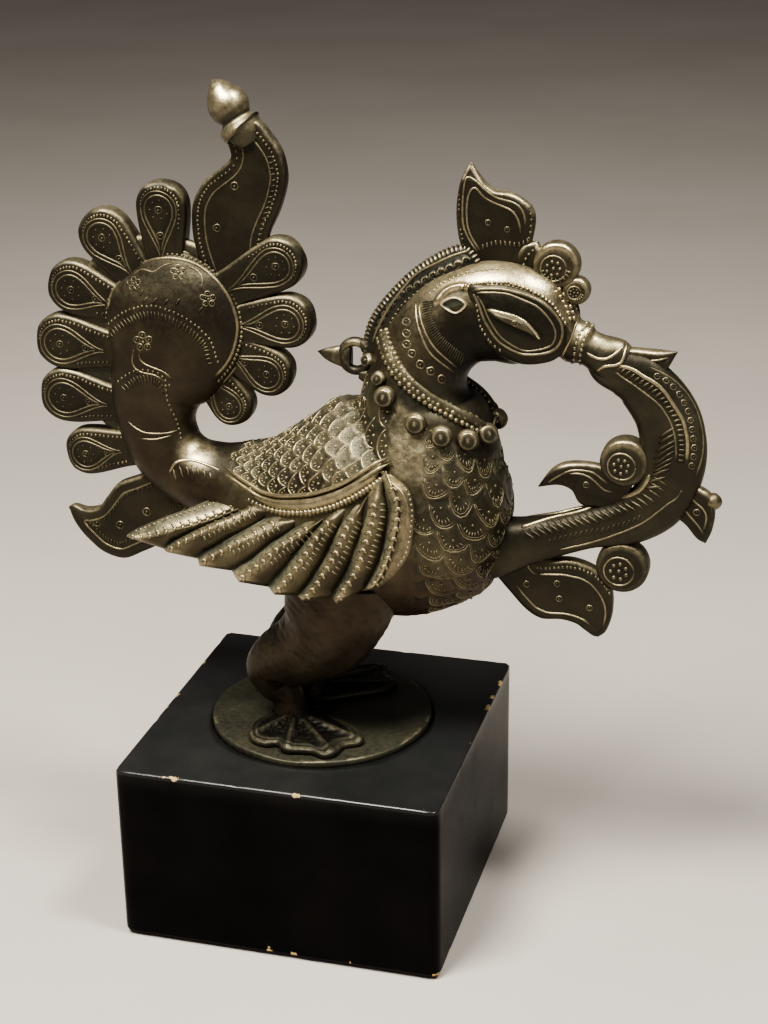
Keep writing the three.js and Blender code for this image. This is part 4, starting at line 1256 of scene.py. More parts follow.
garlandLeaves = [
    {"left": [(146, 222), (138, 222.5), (132, 226.4), (119, 227), (110, 223.5), (103.2, 214.2)],
     "right": [(140, 204), (131, 207), (122.5, 208.3), (118.5, 214.5), (112.5, 216.3), (103.2, 214.2)],
     "wires": [[(115.9, 220.8), (119.9, 221.5), (124.8, 220.7), (128.9, 217.7), (132.2, 214.5), (136.2, 214.1)],
               [(106.5, 215.4), (111, 219), (117, 222.6), (124.7, 223.0), (128.8, 221.6), (132.1, 218.8), (134.5, 217.7)]],
     "rings": [(124.1, 216.4)], "thick": 3.2},
    {"left": [(160, 222), (167, 223), (173, 220.6), (179, 216.8), (180.8, 209), (180, 201), (177.6, 194.6)],
     "right": [(156, 208), (163, 206.6), (168, 203.6), (171, 200.6), (173, 198), (175, 196), (177.6, 194.6)],
     "wires": [[(168.6, 217.1), (171.2, 213.1), (175.3, 210), (177, 206), (175.8, 199.9)],
               [(165.7, 213.4), (168.3, 207.7), (173.3, 202.2), (176.2, 198.2)]],
     "rings": [(172.6, 208.1)], "thick": 3.4},
    {"left": [(84, 188), (97, 184), (108, 180.4), (120, 181), (131, 177), (137, 169), (137.8, 157), (135.4, 148), (131.8, 144.2)],
     "right": [(84, 172), (92, 162.5), (99, 155), (106, 151.2), (115, 151.8), (122, 150.6), (126.6, 147.4), (129.4, 145),
               (131.8, 144.2)],
     "wires": [[(103.4, 171.5), (110, 172.2), (117, 172.5), (124.5, 171), (129.5, 167.1), (133, 162.1), (134.4, 156.1),
                (133.4, 149)],
               [(98.6, 179.9), (98.7, 174.6), (102.1, 171.3), (103.4, 171.5)],
               [(93.4, 165.5), (100, 157.6), (106.4, 153.4), (115, 153.6), (122, 152.6), (127.4, 149.8)]],
     "rings": [(112.1, 168), (113.1, 160.7), (98.2, 166.3), (127, 157.8)], "thick": 4.4},
    {"left": [(135, 280), (143, 280.4), (152, 280.2), (161.5, 280)],
     "right": [(137, 270), (146, 268), (156, 271), (161.5, 280)],
     "wires": [[(139.5, 275.5), (147.7, 274.9), (153.1, 275.6), (158.0, 277.1)]], "rings": [], "thick": 3.0}]
lowRim = [(102.9, 175), (107.9, 175.1), (116.9, 176.5), (122.7, 176.2), (128.5, 173.7), (132.7, 170.1), (135.8, 166)]
scrollWork = [[(134.2, 227.0), (135.3, 230.0), (138.8, 232.6), (142, 231.0), (145.2, 229.6), (148.2, 230.8)],
              [(133.3, 222.6), (136, 220.4), (142.4, 220.4), (147.2, 222.4), (149.8, 226.4)]]


def makeGarlandLeaves():
    part = Part()
    gold = (0.14, 0.1, 0.08, 0.0)
    for k, item in enumerate(garlandLeaves):
        surface, outline = addLeaf(part, item["left"], item["right"], 64, 46, item["thick"], 0.55)
        addTraces(part, surface, item["wires"], 0.55, gold)
        if item["rings"]:
            addRings(part, surface, item["rings"], 1.3, 0.40, gold)
        if k == 2:
            addBeads(part, bothSides(settled(surface, rowOf(lowRim, 1.8), 0.2)), 0.8, (0.34, 0.1, 0.1, 0.0))
    addScroll(part, (141.4, 229.6), 10.8, 5.6, 0.2, marks=(0.30, 0.7, 0.15, 0.0))
    addScroll(part, (142, 180.4), 11.8, 5.6, 0.5, marks=(0.14, 0.75, 0.1, 0.0))
    addBeads(part, np.array([[180.0, 0.0, 214.0]]), 3.6, (0.35, 0.3, 0.0, 0.3), 8)
    part.build("garland_leaves", bronze)


makeBill()
makeGarland()
makeGarlandLeaves()
print("bill and garland made")

# tail fan: petals round the boss, the tall leaf with its bud, and the leaf below
fan = {
    "petals": [((-88, 217), (-111, 213.5), 11.8), ((-92, 238), (-120, 240.5), 13.5), ((-92, 264), (-120, 266.5), 13.5),
               ((-88, 285), (-112.5, 292.5), 13.0), ((-78, 297), (-95.5, 317.5), 12.7), ((-67, 303), (-67.5, 331.5), 12.2),
               ((-42, 294), (-14, 309), 12.2), ((-40, 280), (-10.5, 283), 12.6), ((-42, 270), (-20, 259), 11.7),
               ((-52, 262), (-38.5, 242.5), 10.7)],
    "rootHalf": 8.5, "halfThick": 5.2}


def makePetals():
    part = Part()
    beads = Part()
    for k, (root, middle, radius) in enumerate(fan["petals"]):
        left, right = roundPetal(root, middle, radius*0.96, fan["rootHalf"])
        points, outline = leaf(left, right, 56, 46, fan["halfThick"], 4.2)
        flat = points[..., [0, 2]]
        edge = np.abs(nearCurve(flat, outline)[0])
        loops = [teardrop(root, middle, radius, share) for share in (0.70, 0.55)]
        sunk = insideOf(flat, loops[1])*np.clip(np.abs(nearCurve(flat, loops[1])[0])/1.5, 0, 1)
        lift = 0.6*rib(edge - 1.2, 1.7) - 0.5*sunk
        done = lifted(points, lift)
        upward = np.clip(gridNormals(points)[..., 2]*1.5, 0, 1)
        part.addTube(done, darkLeaf(lift, edge, upward, points, 0.66, 0.06, 0.45), 0.45)
        gold = (0.02, 0.12, 0.12, 0.0)
        addTraces(part, done, loops, 0.46, gold, True)
        way = (np.asarray(middle, float) - root)/np.linalg.norm(np.asarray(middle, float) - root)
        heart = np.asarray(middle) + [-0.6, -1.0]
        addRings(part, done, [heart, heart - way*radius*0.95], 1.5, 0.40, gold, True)
        turn = np.arange(7)*2*np.pi/7 + k
        dots = heart + np.stack([np.cos(turn), np.sin(turn)], axis=1)*radius*0.34
        addBeads(part, bothSides(settled(done, dots, 0.1, True)), 0.5, gold)
        places = borderRow(outline[5:-5], 2.7, 2.05)
        side = (places - middle) @ np.array([0.5, 0.86])/radius
        upper = places[side > -0.35]
        # beads on each petal's upper side are brighter: a painted highlight
        for low, high, worn in ((-1, 0.35, 0.20), (0.35, 2, 0.38)):
            these = upper[(side[side > -0.35] >= low) & (side[side > -0.35] < high)]
            addBeads(beads, bothSides(settled(done, these, 0.15, True)), 0.72, (worn, 0.35, 0.0, 0.0))
    part.build("tail_petals", bronze)
    beads.build("tail_petal_beads", bronze)


def teardrop(root, middle, radius, share):
    # closed loop inside a petal: a smaller circle at the lobe, drawn out to a point near the root
    root, middle = np.asarray(root, float), np.asarray(middle, float)
    left, right = roundPetal(root + (middle - root)*(0.9 - share), middle, radius*share, 0.4)
    loop = np.concatenate([left, right[::-1]]) + np.array([-0.6, -1.0])
    return smoothCurve(loop, 70)


topLeaf = {
    "left": [(-48, 300), (-52, 312), (-53.5, 323), (-52.5, 334), (-47, 343.5), (-38, 350.5), (-34, 354.5), (-34.5, 359), (-36, 364), (-33, 370), (-28, 372)],
    "right": [(-24, 296), (-21, 306), (-19, 320), (-13, 333), (-9.5, 346), (-11.5, 357.5), (-17.5, 366.5), (-22, 371), (-28, 372)],
    "rings": [(-33.5, 341), (-42.5, 322)], "thick": 4.2}
bud = {"rows": [(-25, 361, 6, 6), (-27, 364, 7.4, 7.4), (-28.4, 366.4, 8.6, 8.4), (-29.8, 367.8, 9.8, 9.4), (-30.6, 369.2, 8.8, 8.4),
                (-31.6, 371, 6.8, 6.8), (-32.6, 372.8, 7.8, 7.6), (-34, 375, 9.0, 8.8), (-35.8, 378, 9.0, 8.8), (-37.8, 381, 7.6, 7.4),
                (-39.6, 384, 5.2, 5.2), (-41.2, 386.2, 2.4, 2.4), (-42, 387.2, 0.4, 0.4)]}
lowLeaf = {
    "left": [(-58, 206), (-66, 208), (-76, 208), (-87, 202.5), (-97, 198), (-103, 191), (-108, 185), (-115, 183.2), (-121, 184.6), (-124.2, 183)],
    "right": [(-52, 196), (-60, 186), (-68, 178), (-77, 170), (-87, 164.4), (-97, 160), (-107, 162.6), (-114, 168.6), (-120, 175), (-124.2, 183)],
    "thick": 4.5}


def makeTallLeaf():
    part = Part()
    beads = Part()
    done, outline = addLeaf(part, topLeaf["left"], topLeaf["right"], 120, 60, topLeaf["thick"], 0.45, 0.06)
    gold = (0.06, 0.1, 0.08, 0.0)
    path = evened(settled(done, borderRow(outline, 6.4, 1.2), 0.15, True), 3)
    wire = wirePath(path, 0.5, 6)
    part.addBothSides(wire, finish(wire.shape[:2], *gold))
    addRings(part, done, topLeaf["rings"], 1.6, 0.42, gold)
    starts = rowOf([(-26, 305), (-24.5, 318), (-20.5, 331), (-17, 343), (-18.5, 354)], 2.3)
    addStrokes(part, done, starts, starts + [2.6, 0.8], 0.45, gold)
    budPoints, path = limb(bud["rows"], 70, 56)
    along = np.clip((path[:, 1:2] - 362)/24, 0, 1)
    worn = np.broadcast_to(along, budPoints.shape[:2])
    # the bud is rubbed brighter towards its tip, with a painted highlight on faces that look up and painted shade on
    # those that look down
    upward = np.clip(gridNormals(budPoints)[..., 2] + 0.2, 0, 1)
    rubbedAndLit = upward*np.clip(worn*1.6, 0, 1)*(0.8 + 0.35*uneven(budPoints, 9, 79))
    part.addTube(budPoints, finish(worn.shape, 0.16 + 0.84*rubbedAndLit, 0.45*(1 - upward), 0.15, 0.0))
    part.build("tail_tall_leaf", bronze)
    centres = settled(done, borderRow(outline[8:-8], 3.1, 2.1), 0.15, True)
    addBeads(beads, bothSides(centres), 0.78, (0.26, 0.35, 0.0, 0.0))
    beads.build("tail_leaf_beads", bronze)


def makeLowLeaf():
    part = Part()
    done, outline = addLeaf(part, lowLeaf["left"], lowLeaf["right"], 96, 56, lowLeaf["thick"], 0.5, 0.08)
    gold = (0.10, 0.1, 0.08, 0.0)
    path = evened(settled(done, borderRow(outline, 5.0, 1.2), 0.15, True), 3)
    wire = wirePath(path, 0.55, 6)
    part.addBothSides(wire, finish(wire.shape[:2], *gold))
    path = borderRow(outline, 7.0, 2.3)
    addStrokes(part, done, path, path + [-0.4, 2.0], 0.45, gold, True)
    addRings(part, done, [(-98, 176), (-84, 184), (-110, 176)], 1.8, 0.45, gold)
    part.build("tail_low_leaf", bronze)


def makeBacking():
    # plate between boss and petals, seen in the notches: a ring sector round the boss's middle
    part = Part()
    turn = np.radians(np.linspace(-62, 262, 200))
    middle = np.array([-66, 268])
    reach = np.interp(np.degrees(turn), [-62, -20, 30, 90, 130, 180, 230, 262], [29, 42, 46, 51, 53, 52, 55, 57])
    outer = middle + np.stack([np.cos(turn), np.sin(turn)], axis=1)*reach[:, None]
    inner = middle + np.stack([np.cos(turn), np.sin(turn)], axis=1)*reach[:, None]*0.45
    points, _ = leaf(outer, inner, 110, 26, 3.0, 4.0)
    part.addTube(points, finish(points.shape[:2], 0.12, 0.5, 0.35, 0.0))
    part.build("tail_backing", bronze)


makePetals()
makeTallLeaf()
makeLowLeaf()
makeBacking()
print("tail made")

# wings: nine feathers each, fanned from a double band. Crests run from root to tip in the side drawing
wing = {
    "crests": [
        [(-38.6, 190.6), (-42.9, 188.3), (-50.4, 184.7), (-59.9, 180.6), (-68.3, 177.6), (-77.1, 173.9),
         (-84.5, 171.9), (-90.9, 171.2)],
        [(-30, 191.1), (-33, 189.2), (-39, 185.5), (-45.1, 182.4), (-51.3, 178.6), (-57.6, 174.8),
         (-64, 171), (-71, 165.6)],
        [(-18.7, 185), (-25.3, 180.6), (-30.8, 177), (-34.5, 174.7), (-42.3, 169.5), (-46.4, 166.9),
         (-51.5, 163.7), (-54.9, 160.5)],
        [(-3.2, 184), (-8.7, 179.2), (-14.8, 174.9), (-20.3, 169.6), (-25.6, 164.4), (-32.3, 158.7),
         (-36.2, 154.7)],
        [(6.5, 188.2), (2.9, 183), (-0.1, 178.3), (-4.3, 170.9), (-8.9, 164.1), (-13.3, 158.2),
         (-19.3, 150.4)],
        [(17.6, 190.6), (14.9, 185.8), (11.9, 178.2), (8.6, 170.9), (4.2, 163.3), (-0.5, 155.7),
         (-6.1, 148.8)],
        [(27.2, 198.5), (27, 192.5), (25.5, 185.8), (23.1, 178.7), (20.8, 170.5), (17.4, 162.8),
         (12.8, 155.8), (9.6, 149.2)],
        [(35.8, 206.8), (38, 200.5), (38.1, 194.6), (37.2, 188), (35.5, 179.9), (33.2, 172.4),
         (29.9, 164.4), (25.6, 157.9)],
        [(36.2, 208.4), (39.9, 205.2), (42.1, 200.2), (42.6, 194.3), (41.6, 188.4), (39.7, 180.8),
         (36.9, 173.3), (32.9, 166.2), (27.8, 159.1)]],
    "leftEdge": [(-40.8, 198.4), (-45, 195), (-55.2, 190.4), (-70.1, 183.8), (-84.6, 176.6), (-91.1, 172.4)],
    "leftBeads": [(-44.2, 193.6), (-55.7, 188.4), (-70.5, 181.9), (-86, 174.3)],
    "rightEdge": [(37.7, 212.2), (43.7, 205.8), (45.7, 197.9), (45.5, 191.4), (44.4, 182.8), (42.4, 175.4),
                  (38.6, 169), (34.4, 163.6), (28.8, 158.4)],
    "grooveTips": [(-72.8, 166.9), (-56.1, 163.8), (-39.8, 159.7), (-22.4, 153.7), (-8.6, 151),
                   (7.5, 151.8), (21.1, 156.3), (27.1, 158.3)],
    "rootOff": (17, 24, 30, 34.5, 37, 38, 37.5, 36.5, 35), "tipOff": (31, 35, 38, 40.5, 42.5, 43.5, 44, 44, 43),
    "dashAt": (None, 3.4, 3.3, 3.4, 3.4, 4.0, 4.4, None), "crest": 2.2, "groove": 2.2, "thick": 4.0, "reachBack": 8.0,
    "slope": 15, "strip": 8, "rows": 84, "backRows": 12}


def wingLines():
    # left edge, then crest and groove by turns, then right edge, all with even rows from root to tip
    rows = wing["rows"]
    v = np.linspace(0, 1, rows)[:, None]
    crests = []
    for curve in wing["crests"]:
        curve = np.array(curve, float)
        back = curve[0] - curve[1]
        crests.append(smoothCurve(np.vstack([curve[0] + wing["reachBack"]*back/np.linalg.norm(back), curve]), rows))
    offs = list(zip(wing["rootOff"], wing["tipOff"]))
    lines, far = [smoothCurve(wing["leftEdge"], rows), crests[0]], [(offs[0][0] - 1, offs[0][1] - 2), offs[0]]
    for k in range(1, len(crests)):
        share = 0.64 + 0.10*v if k < len(crests) - 1 else 0.30 + 0*v
        groove = crests[k - 1]*(1 - share) + crests[k]*share
        groove = groove + (np.array(wing["grooveTips"][k - 1]) - groove[-1])*v**5
        lines += [groove, crests[k]]
        far += [tuple(0.3*np.array(offs[k - 1]) + 0.7*np.array(offs[k])), offs[k]]
    lines.append(smoothCurve(wing["rightEdge"], rows))
    far.append((offs[-1][0] - 2, offs[-1][1] - 1))
    return np.array(lines), np.array(far, float)


def makeWing():
    # one sheet ruled between these lines, with its plain back behind
    lines, offs = wingLines()
    count = len(wing["crests"])
    steps = [wing["slope"]] + [wing["slope"], wing["strip"]]*(count - 1) + [wing["strip"]]
    at = np.concatenate([k + np.arange(n)/n for k, n in enumerate(steps)] + [[len(steps)]])
    low = np.minimum(at.astype(int), len(lines) - 2)
    share = (at - low)[:, None, None]
    sheet = lines[low]*(1 - share) + lines[low + 1]*share
    crestOf = np.clip(2*np.round((at - 1)/2).astype(int) + 1, 1, len(lines) - 2)
    v = np.linspace(0, 1, wing["rows"])[None, :]
    rootOff = np.interp(at, np.arange(len(lines)), offs[:, 0])[:, None]
    tipOff = np.interp(at, np.arange(len(lines)), offs[:, 1])[:, None]
    off = rootOff + (tipOff - rootOff)*v + 3.0*np.sin(np.pi*v)
    fromCrest = np.abs(at - crestOf)[:, None]
    onStrip = (at < crestOf)[:, None]
    last = (crestOf == len(lines) - 2)[:, None]
    shallow = (at > len(lines) - 4)[:, None]
    fall = (wing["crest"] + wing["groove"])*(1 - 0.88*shallow)
    ridge = wing["crest"] - fall*np.where(onStrip, fromCrest**1.8, fromCrest**2.2)
    front = placed(sheet, off + ridge*np.clip(v/0.12, 0.2, 1) - 2.2*np.clip((v - 0.95)/0.05, 0, 1)**2)
    back = placed(sheet[:, ::-1], (off - wing["thick"])[:, ::-1])
    pick = np.linspace(0, wing["rows"] - 1, wing["backRows"]).astype(int)
    points = np.concatenate([front, back[:, pick]], axis=1)
    rub = 0.9 + 0.3*uneven(front, 16, 81)
    crown = np.clip(1 - fromCrest/0.55, 0, 1)
    upper = np.clip(1.2 - 1.2*v, 0, 1)
    # crests brighter; the strips, which face up and left, get a painted highlight, strongest near the root
    bright = (0.24*crown + 0.14 + (0.12 + 0.10*upper)*onStrip)*rub*(1 - last) + last*(0.55 - 0.28*v)*rub
    # painted shade in the grooves between the feathers
    grooveShade = np.clip((fromCrest - 0.72)/0.28, 0, 1)
    marks = finish(front.shape[:2], bright, (0.08 + 0.40*grooveShade)*(1 - 0.8*shallow), 0.75*onStrip*(1 - crown)*(1 - last), 0.12)
    plain = finish((len(at), len(pick)), 0.1, 0.4, 0.2, 0.1)
    part = Part()
    part.addBothSides(points, np.concatenate([marks, plain], axis=1), 0.6)
    addWingWork(part, front)
    part.build("wing_feathers", bronze)


def addWingWork(part, surface):
    # arrowheads along each crest, pointing at its root, with short dashes beside its upper half; beads on
    # the first feather's upper border and along the last one's free edge
    pale = (0.46, 0.0, 0.15, 0.0)
    for curve, dashAt in zip(wing["crests"], wing["dashAt"]):
        apex = rowOf(curve, 4.0)[:-1]
        run = np.gradient(apex, axis=0)
        run = run/np.linalg.norm(run, axis=1, keepdims=True)
        across = np.stack([-run[:, 1], run[:, 0]], axis=1)
        for side in (-1, 1):
            addStrokes(part, surface, apex - 0.3*side*across, apex + 1.9*run + 1.8*side*across, 0.78, pale)
        if dashAt is None:
            continue
        upper = smoothCurve(curve, 40)[:23]
        starts, ends = rowOf(upper, 2.4, dashAt - 1.5), rowOf(upper, 2.4, dashAt + 1.5)
        addStrokes(part, surface, starts, ends, 0.55, (0.30, 0.0, 0.15, 0.0))
    beads = [(rowOf(wing["leftBeads"], 2.3), 0.85), (rowOf(wing["rightEdge"], 2.4, -1.2)[2:-6], 0.7)]
    for places, radius in beads:
        addBeads(part, bothSides(settled(surface, places, 0.1)), radius, pale)


band = {
    "upper": [(-44, 209), (-36.5, 204.4), (-30.9, 201.1), (-24.7, 197.9), (-15.9, 196.7), (-3.2, 198.4), (5, 201),
              (13.5, 205), (22, 210.8), (29, 216), (35, 219.5)],
    "lower": [(-42, 203), (-36.8, 197.8), (-28.7, 193.5), (-22.4, 191.2), (-14.2, 190.1), (-3.5, 191.2), (7, 194.4),
              (17, 199.6), (26, 206), (33.5, 212)],
    "off": [(-44, 14), (-38, 18), (-28, 24), (-16, 30), (-3, 34.5), (10, 36.5), (22, 36.5), (36, 33)]}


def bandTube(curve, radius, along, around, flat=1.0, shift=0.0, beadPitch=0.0):
    # tube along the wing's root at its distance off the mid plane, swelling into beads at each pitch
    rows = smoothCurve(curve, along)
    off = np.interp(rows[:, 0], *np.array(band["off"], float).T)
    run = np.gradient(rows, axis=0)
    step = np.linalg.norm(run, axis=1, keepdims=True)
    across = np.stack([-run[:, 1], run[:, 0]], axis=1)/step
    rows = rows + across*shift
    turn = np.arange(around)*2*np.pi/around
    taper = np.clip(np.minimum(np.arange(along), np.arange(along)[::-1])/8, 0.25, 1)[:, None]
    if beadPitch:
        taper = taper*(1 + 0.13*np.cos(2*np.pi*np.cumsum(step)/beadPitch))[:, None]
    ab = rows[:, None, :] + across[:, None, :]*(radius*taper*np.cos(turn)[None, :])[..., None]
    out = off[:, None] + radius*flat*taper*np.sin(turn)[None, :]
    return placed(ab, out)


def makeBands():
    part = Part()
    for shift in (1.35, -1.35):
        ridge = bandTube(band["upper"], 1.15, 110, 10, 1.9, shift)
        part.addBothSides(ridge, finish(ridge.shape[:2], 0.30, 0.1, 0.2, 0.0))
    swell = bandTube(band["lower"], 2.6, 110, 14, 0.9, 3.4)
    part.addBothSides(swell, finish(swell.shape[:2], 0.42, 0.1, 0.1, 0.0), 0.4)
    rope = bandTube(band["lower"], 1.9, 240, 11, 1.5, 0.0, 2.0)
    part.addBothSides(rope, finish(rope.shape[:2], 0.30, 0.1, 0.1, 0.0))
    part.build("wing_bands", bronze)


makeWing()
makeBands()
print("wings made")

# legs and webbed feet
legs = {
    "rows": [(18, 172, 27, 17, -22), (17, 163, 26.5, 17, -22), (15, 155, 25, 17, -22), (9, 142, 22, 16, -21), (-1, 132, 18, 14, -19), (-13, 123.5, 15.4, 12, -17),
             (-19, 116.5, 13, 10.2, -15.6), (-18, 109.5, 9.6, 8.6, -14.5), (-13, 103, 7.6, 7.5, -13.5), (-11, 95, 8, 8, -13.5), (-10, 89.6, 9, 9, -13.5)],
    "front": [(31.5, 150), (33, 143), (30, 134), (24, 126), (16, 118.5), (9, 113)],
    "foot": [(-17, -8), (-22, -17), (-26, -30), (-22, -41), (-14, -44), (-9, -42), (-4, -47), (3, -46), (9, -45.5), (15, -48),
             (20, -45), (22, -37), (29, -31), (24, -21), (12, -13), (-2, -5)],
    "footMiddle": (-8.0, -16.0), "toes": [(-23, -38), (-3, -45), (19, -45.5), (28, -30)]}


def makeLegs():
    part = Part()
    points, path = limb(legs["rows"], 100, 68)
    weave = uneven(points, 3.2, 21)
    pits = np.clip(weave - 0.25, 0, 1)
    ab = drawn(points)
    lines = [np.asarray(legs["front"], float) - np.array([k, 0.5*k]) for k in (2.0, 5.0)]
    lift = 0.14*weave + wires(ab, [tuple(map(tuple, line)) for line in lines], 1.0, 0.8)
    lit = np.clip(wires(ab, [tuple(map(tuple, line)) for line in lines], 1.0, 1.0), 0, 1)
    part.addBothSides(lifted(points, lift), finish(lit.shape, 0.08 + 0.04*lit, 0.36 + 0.3*pits, 0.08, 0.6), 0.2)
    outline = smoothCurve(legs["foot"], 97, closed=True)[:-1]
    middle = np.array(legs["footMiddle"])
    shares = np.concatenate([np.linspace(0.04, 1, 46), [1.0, 0.9, 0.4]])
    flat = middle + (outline - middle)[None]*shares[:, None, None]
    rim = rib(shares - 0.94, 0.05, 0.8) + rib(shares - 0.84, 0.04, 0.6)
    height = np.where(np.arange(49) < 46, 93.0 + 3.4*(1 - shares)**1.3 + rim, [0.0]*49)
    height[46:] = [91.0, 90.0, 90.0]
    z = np.broadcast_to(height[:, None], flat.shape[:2]).copy()
    top = (np.arange(49) < 46)[:, None]
    toes = np.zeros(z.shape)
    for toe in legs["toes"]:
        away, _ = nearCurve(flat, np.array([middle, toe], float))
        toes = np.maximum(toes, rib(away, 2.2, 1.3)*np.clip(shares[:, None]*2, 0, 1))
    z = z + toes*top
    points = np.stack([flat[..., 0], flat[..., 1], z], axis=-1)
    grit = uneven(points, 2.6, 33)
    web = top*(toes < 0.5)*within(shares - 0.45, 0.33, 0.05)[:, None]
    points[..., 2] += web*0.35*grit
    lit = np.clip(np.broadcast_to(rim[:, None], z.shape) + toes/1.3, 0, 1)*top
    part.addBothSides(points, finish(z.shape, 0.02 + 0.05*lit, 0.6*web + 0.45, 0.3, 0.1), 0.45)
    part.build("legs_and_feet", bronze)


makeLegs()
print("legs made")

# round foot plate with its square hole, let into the plinth
plate = {"middle": (0.0, 0.0), "radius": 52.4, "bottom": 86.6, "top": 90.4, "holeMiddle": (1.0, -2.5), "holeHalf": 4.6}
iron = simpleMaterial("darkPlate", (0.030, 0.032, 0.026), (0.062, 0.064, 0.050), 0.5, 260, 0.0004, 0.5)


def makePlate():
    # rings from the hole's square outline to the rim's circle, over the rounded edge and back underneath
    columns = 180
    turn = np.arange(columns)*2*np.pi/columns
    square = plate["holeHalf"]/np.maximum(np.abs(np.cos(turn + 0.2)), np.abs(np.sin(turn + 0.2)))
    hole = np.stack([plate["holeMiddle"][0] + square*np.cos(turn), plate["holeMiddle"][1] + square*np.sin(turn)], axis=1)
    circle = np.stack([np.cos(turn), np.sin(turn)], axis=1)*plate["radius"]
    shares = np.concatenate([[0, 0, 0.01], np.linspace(0.03, 0.97, 20), [0.99, 1.0, 1.0, 0.99], [0.5, 0]])
    heights = np.concatenate([[plate["bottom"], plate["top"] - 0.6, plate["top"]], np.full(20, plate["top"]),
                              [plate["top"] - 0.1, plate["top"] - 0.7, plate["bottom"] + 0.4, plate["bottom"]],
                              [plate["bottom"]]*2])
    flat = hole[None]*(1 - shares)[:, None, None] + circle[None]*shares[:, None, None]
    points = np.stack([flat[..., 0], flat[..., 1], np.broadcast_to(heights[:, None], flat.shape[:2])], axis=-1)
    top = ((shares > 0) & (heights > plate["top"] - 0.3))[:, None]
    wave = uneven(points, 26, 41)
    points[..., 2] += top*0.25*wave
    edge = rib(shares - 0.985, 0.03, 1.0)[:, None]*top
    rows, cols = points.shape[:2]
    index = np.arange(rows*cols).reshape(rows, cols)
    nextRow = np.roll(index, -1, axis=0)
    quads = np.stack([index, nextRow, np.roll(nextRow, -1, axis=1), np.roll(index, -1, axis=1)], axis=-1).reshape(-1, 4)
    marks = finish(points.shape[:2], 0.02 + 0.4*edge*(uneven(points, 18, 43) > 0.4), 0.12, 0.5, 0.3)
    part = Part()
    part.add(points.reshape(-1, 3), quads, np.zeros((0, 3), int), marks.reshape(-1, 4))
    part.build("foot_plate", bronze)


makePlate()

# plinth and felt
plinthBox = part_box("plinth")
plinth = {"half": 76.2, "bottom": 2.3, "top": 87.6, "bevel": 1.6, "recess": 52.9, "recessDepth": 1.45}


def blackPaint():
    # thin black paint over pale wood: worn through where the chip mark is set
    n = Nodes("blackPaint")
    chip = n.add("ShaderNodeAttribute", attribute_name="finish")
    split = n.add("ShaderNodeSeparateColor")
    n.join(chip.outputs["Color"], split.inputs[0])
    cloud = n.noise(18.0, 4)
    grain = n.noise(700.0, 3)
    base = n.mix(n.ramp(cloud, 0.3, 0.7), (0.002, 0.002, 0.002), (0.005, 0.004, 0.004))
    # painted sheen: where the second mark is set (the top face) the black is lifted to a grey
    base = n.mix(split.outputs[1], base, n.mix(n.ramp(cloud, 0.3, 0.7), (0.014, 0.015, 0.015), (0.026, 0.026, 0.024)))
    wood = n.mix(n.ramp(grain, 0.3, 0.7), (0.42, 0.27, 0.11), (0.62, 0.45, 0.22))
    worn = n.ramp(n.math("ADD", split.outputs[0], n.ramp(grain, 0.2, 0.8, -0.25, 0.25)), 0.55, 0.65)
    n.join(n.mix(worn, base, wood), n.shader.inputs["Base Color"])
    rough = n.math("ADD", n.ramp(cloud, 0.25, 0.75, 0.22, 0.34), n.math("MULTIPLY", worn, 0.3))
    n.join(rough, n.shader.inputs["Roughness"])
    n.join(n.ramp(split.outputs[1], 0.0, 1.0, 0.04, 0.5), n.shader.inputs["Specular IOR Level"])
    n.join(n.bump(n.noise(160.0, 4), 0.12, 0.0006), n.shader.inputs["Normal"])
    return n.material


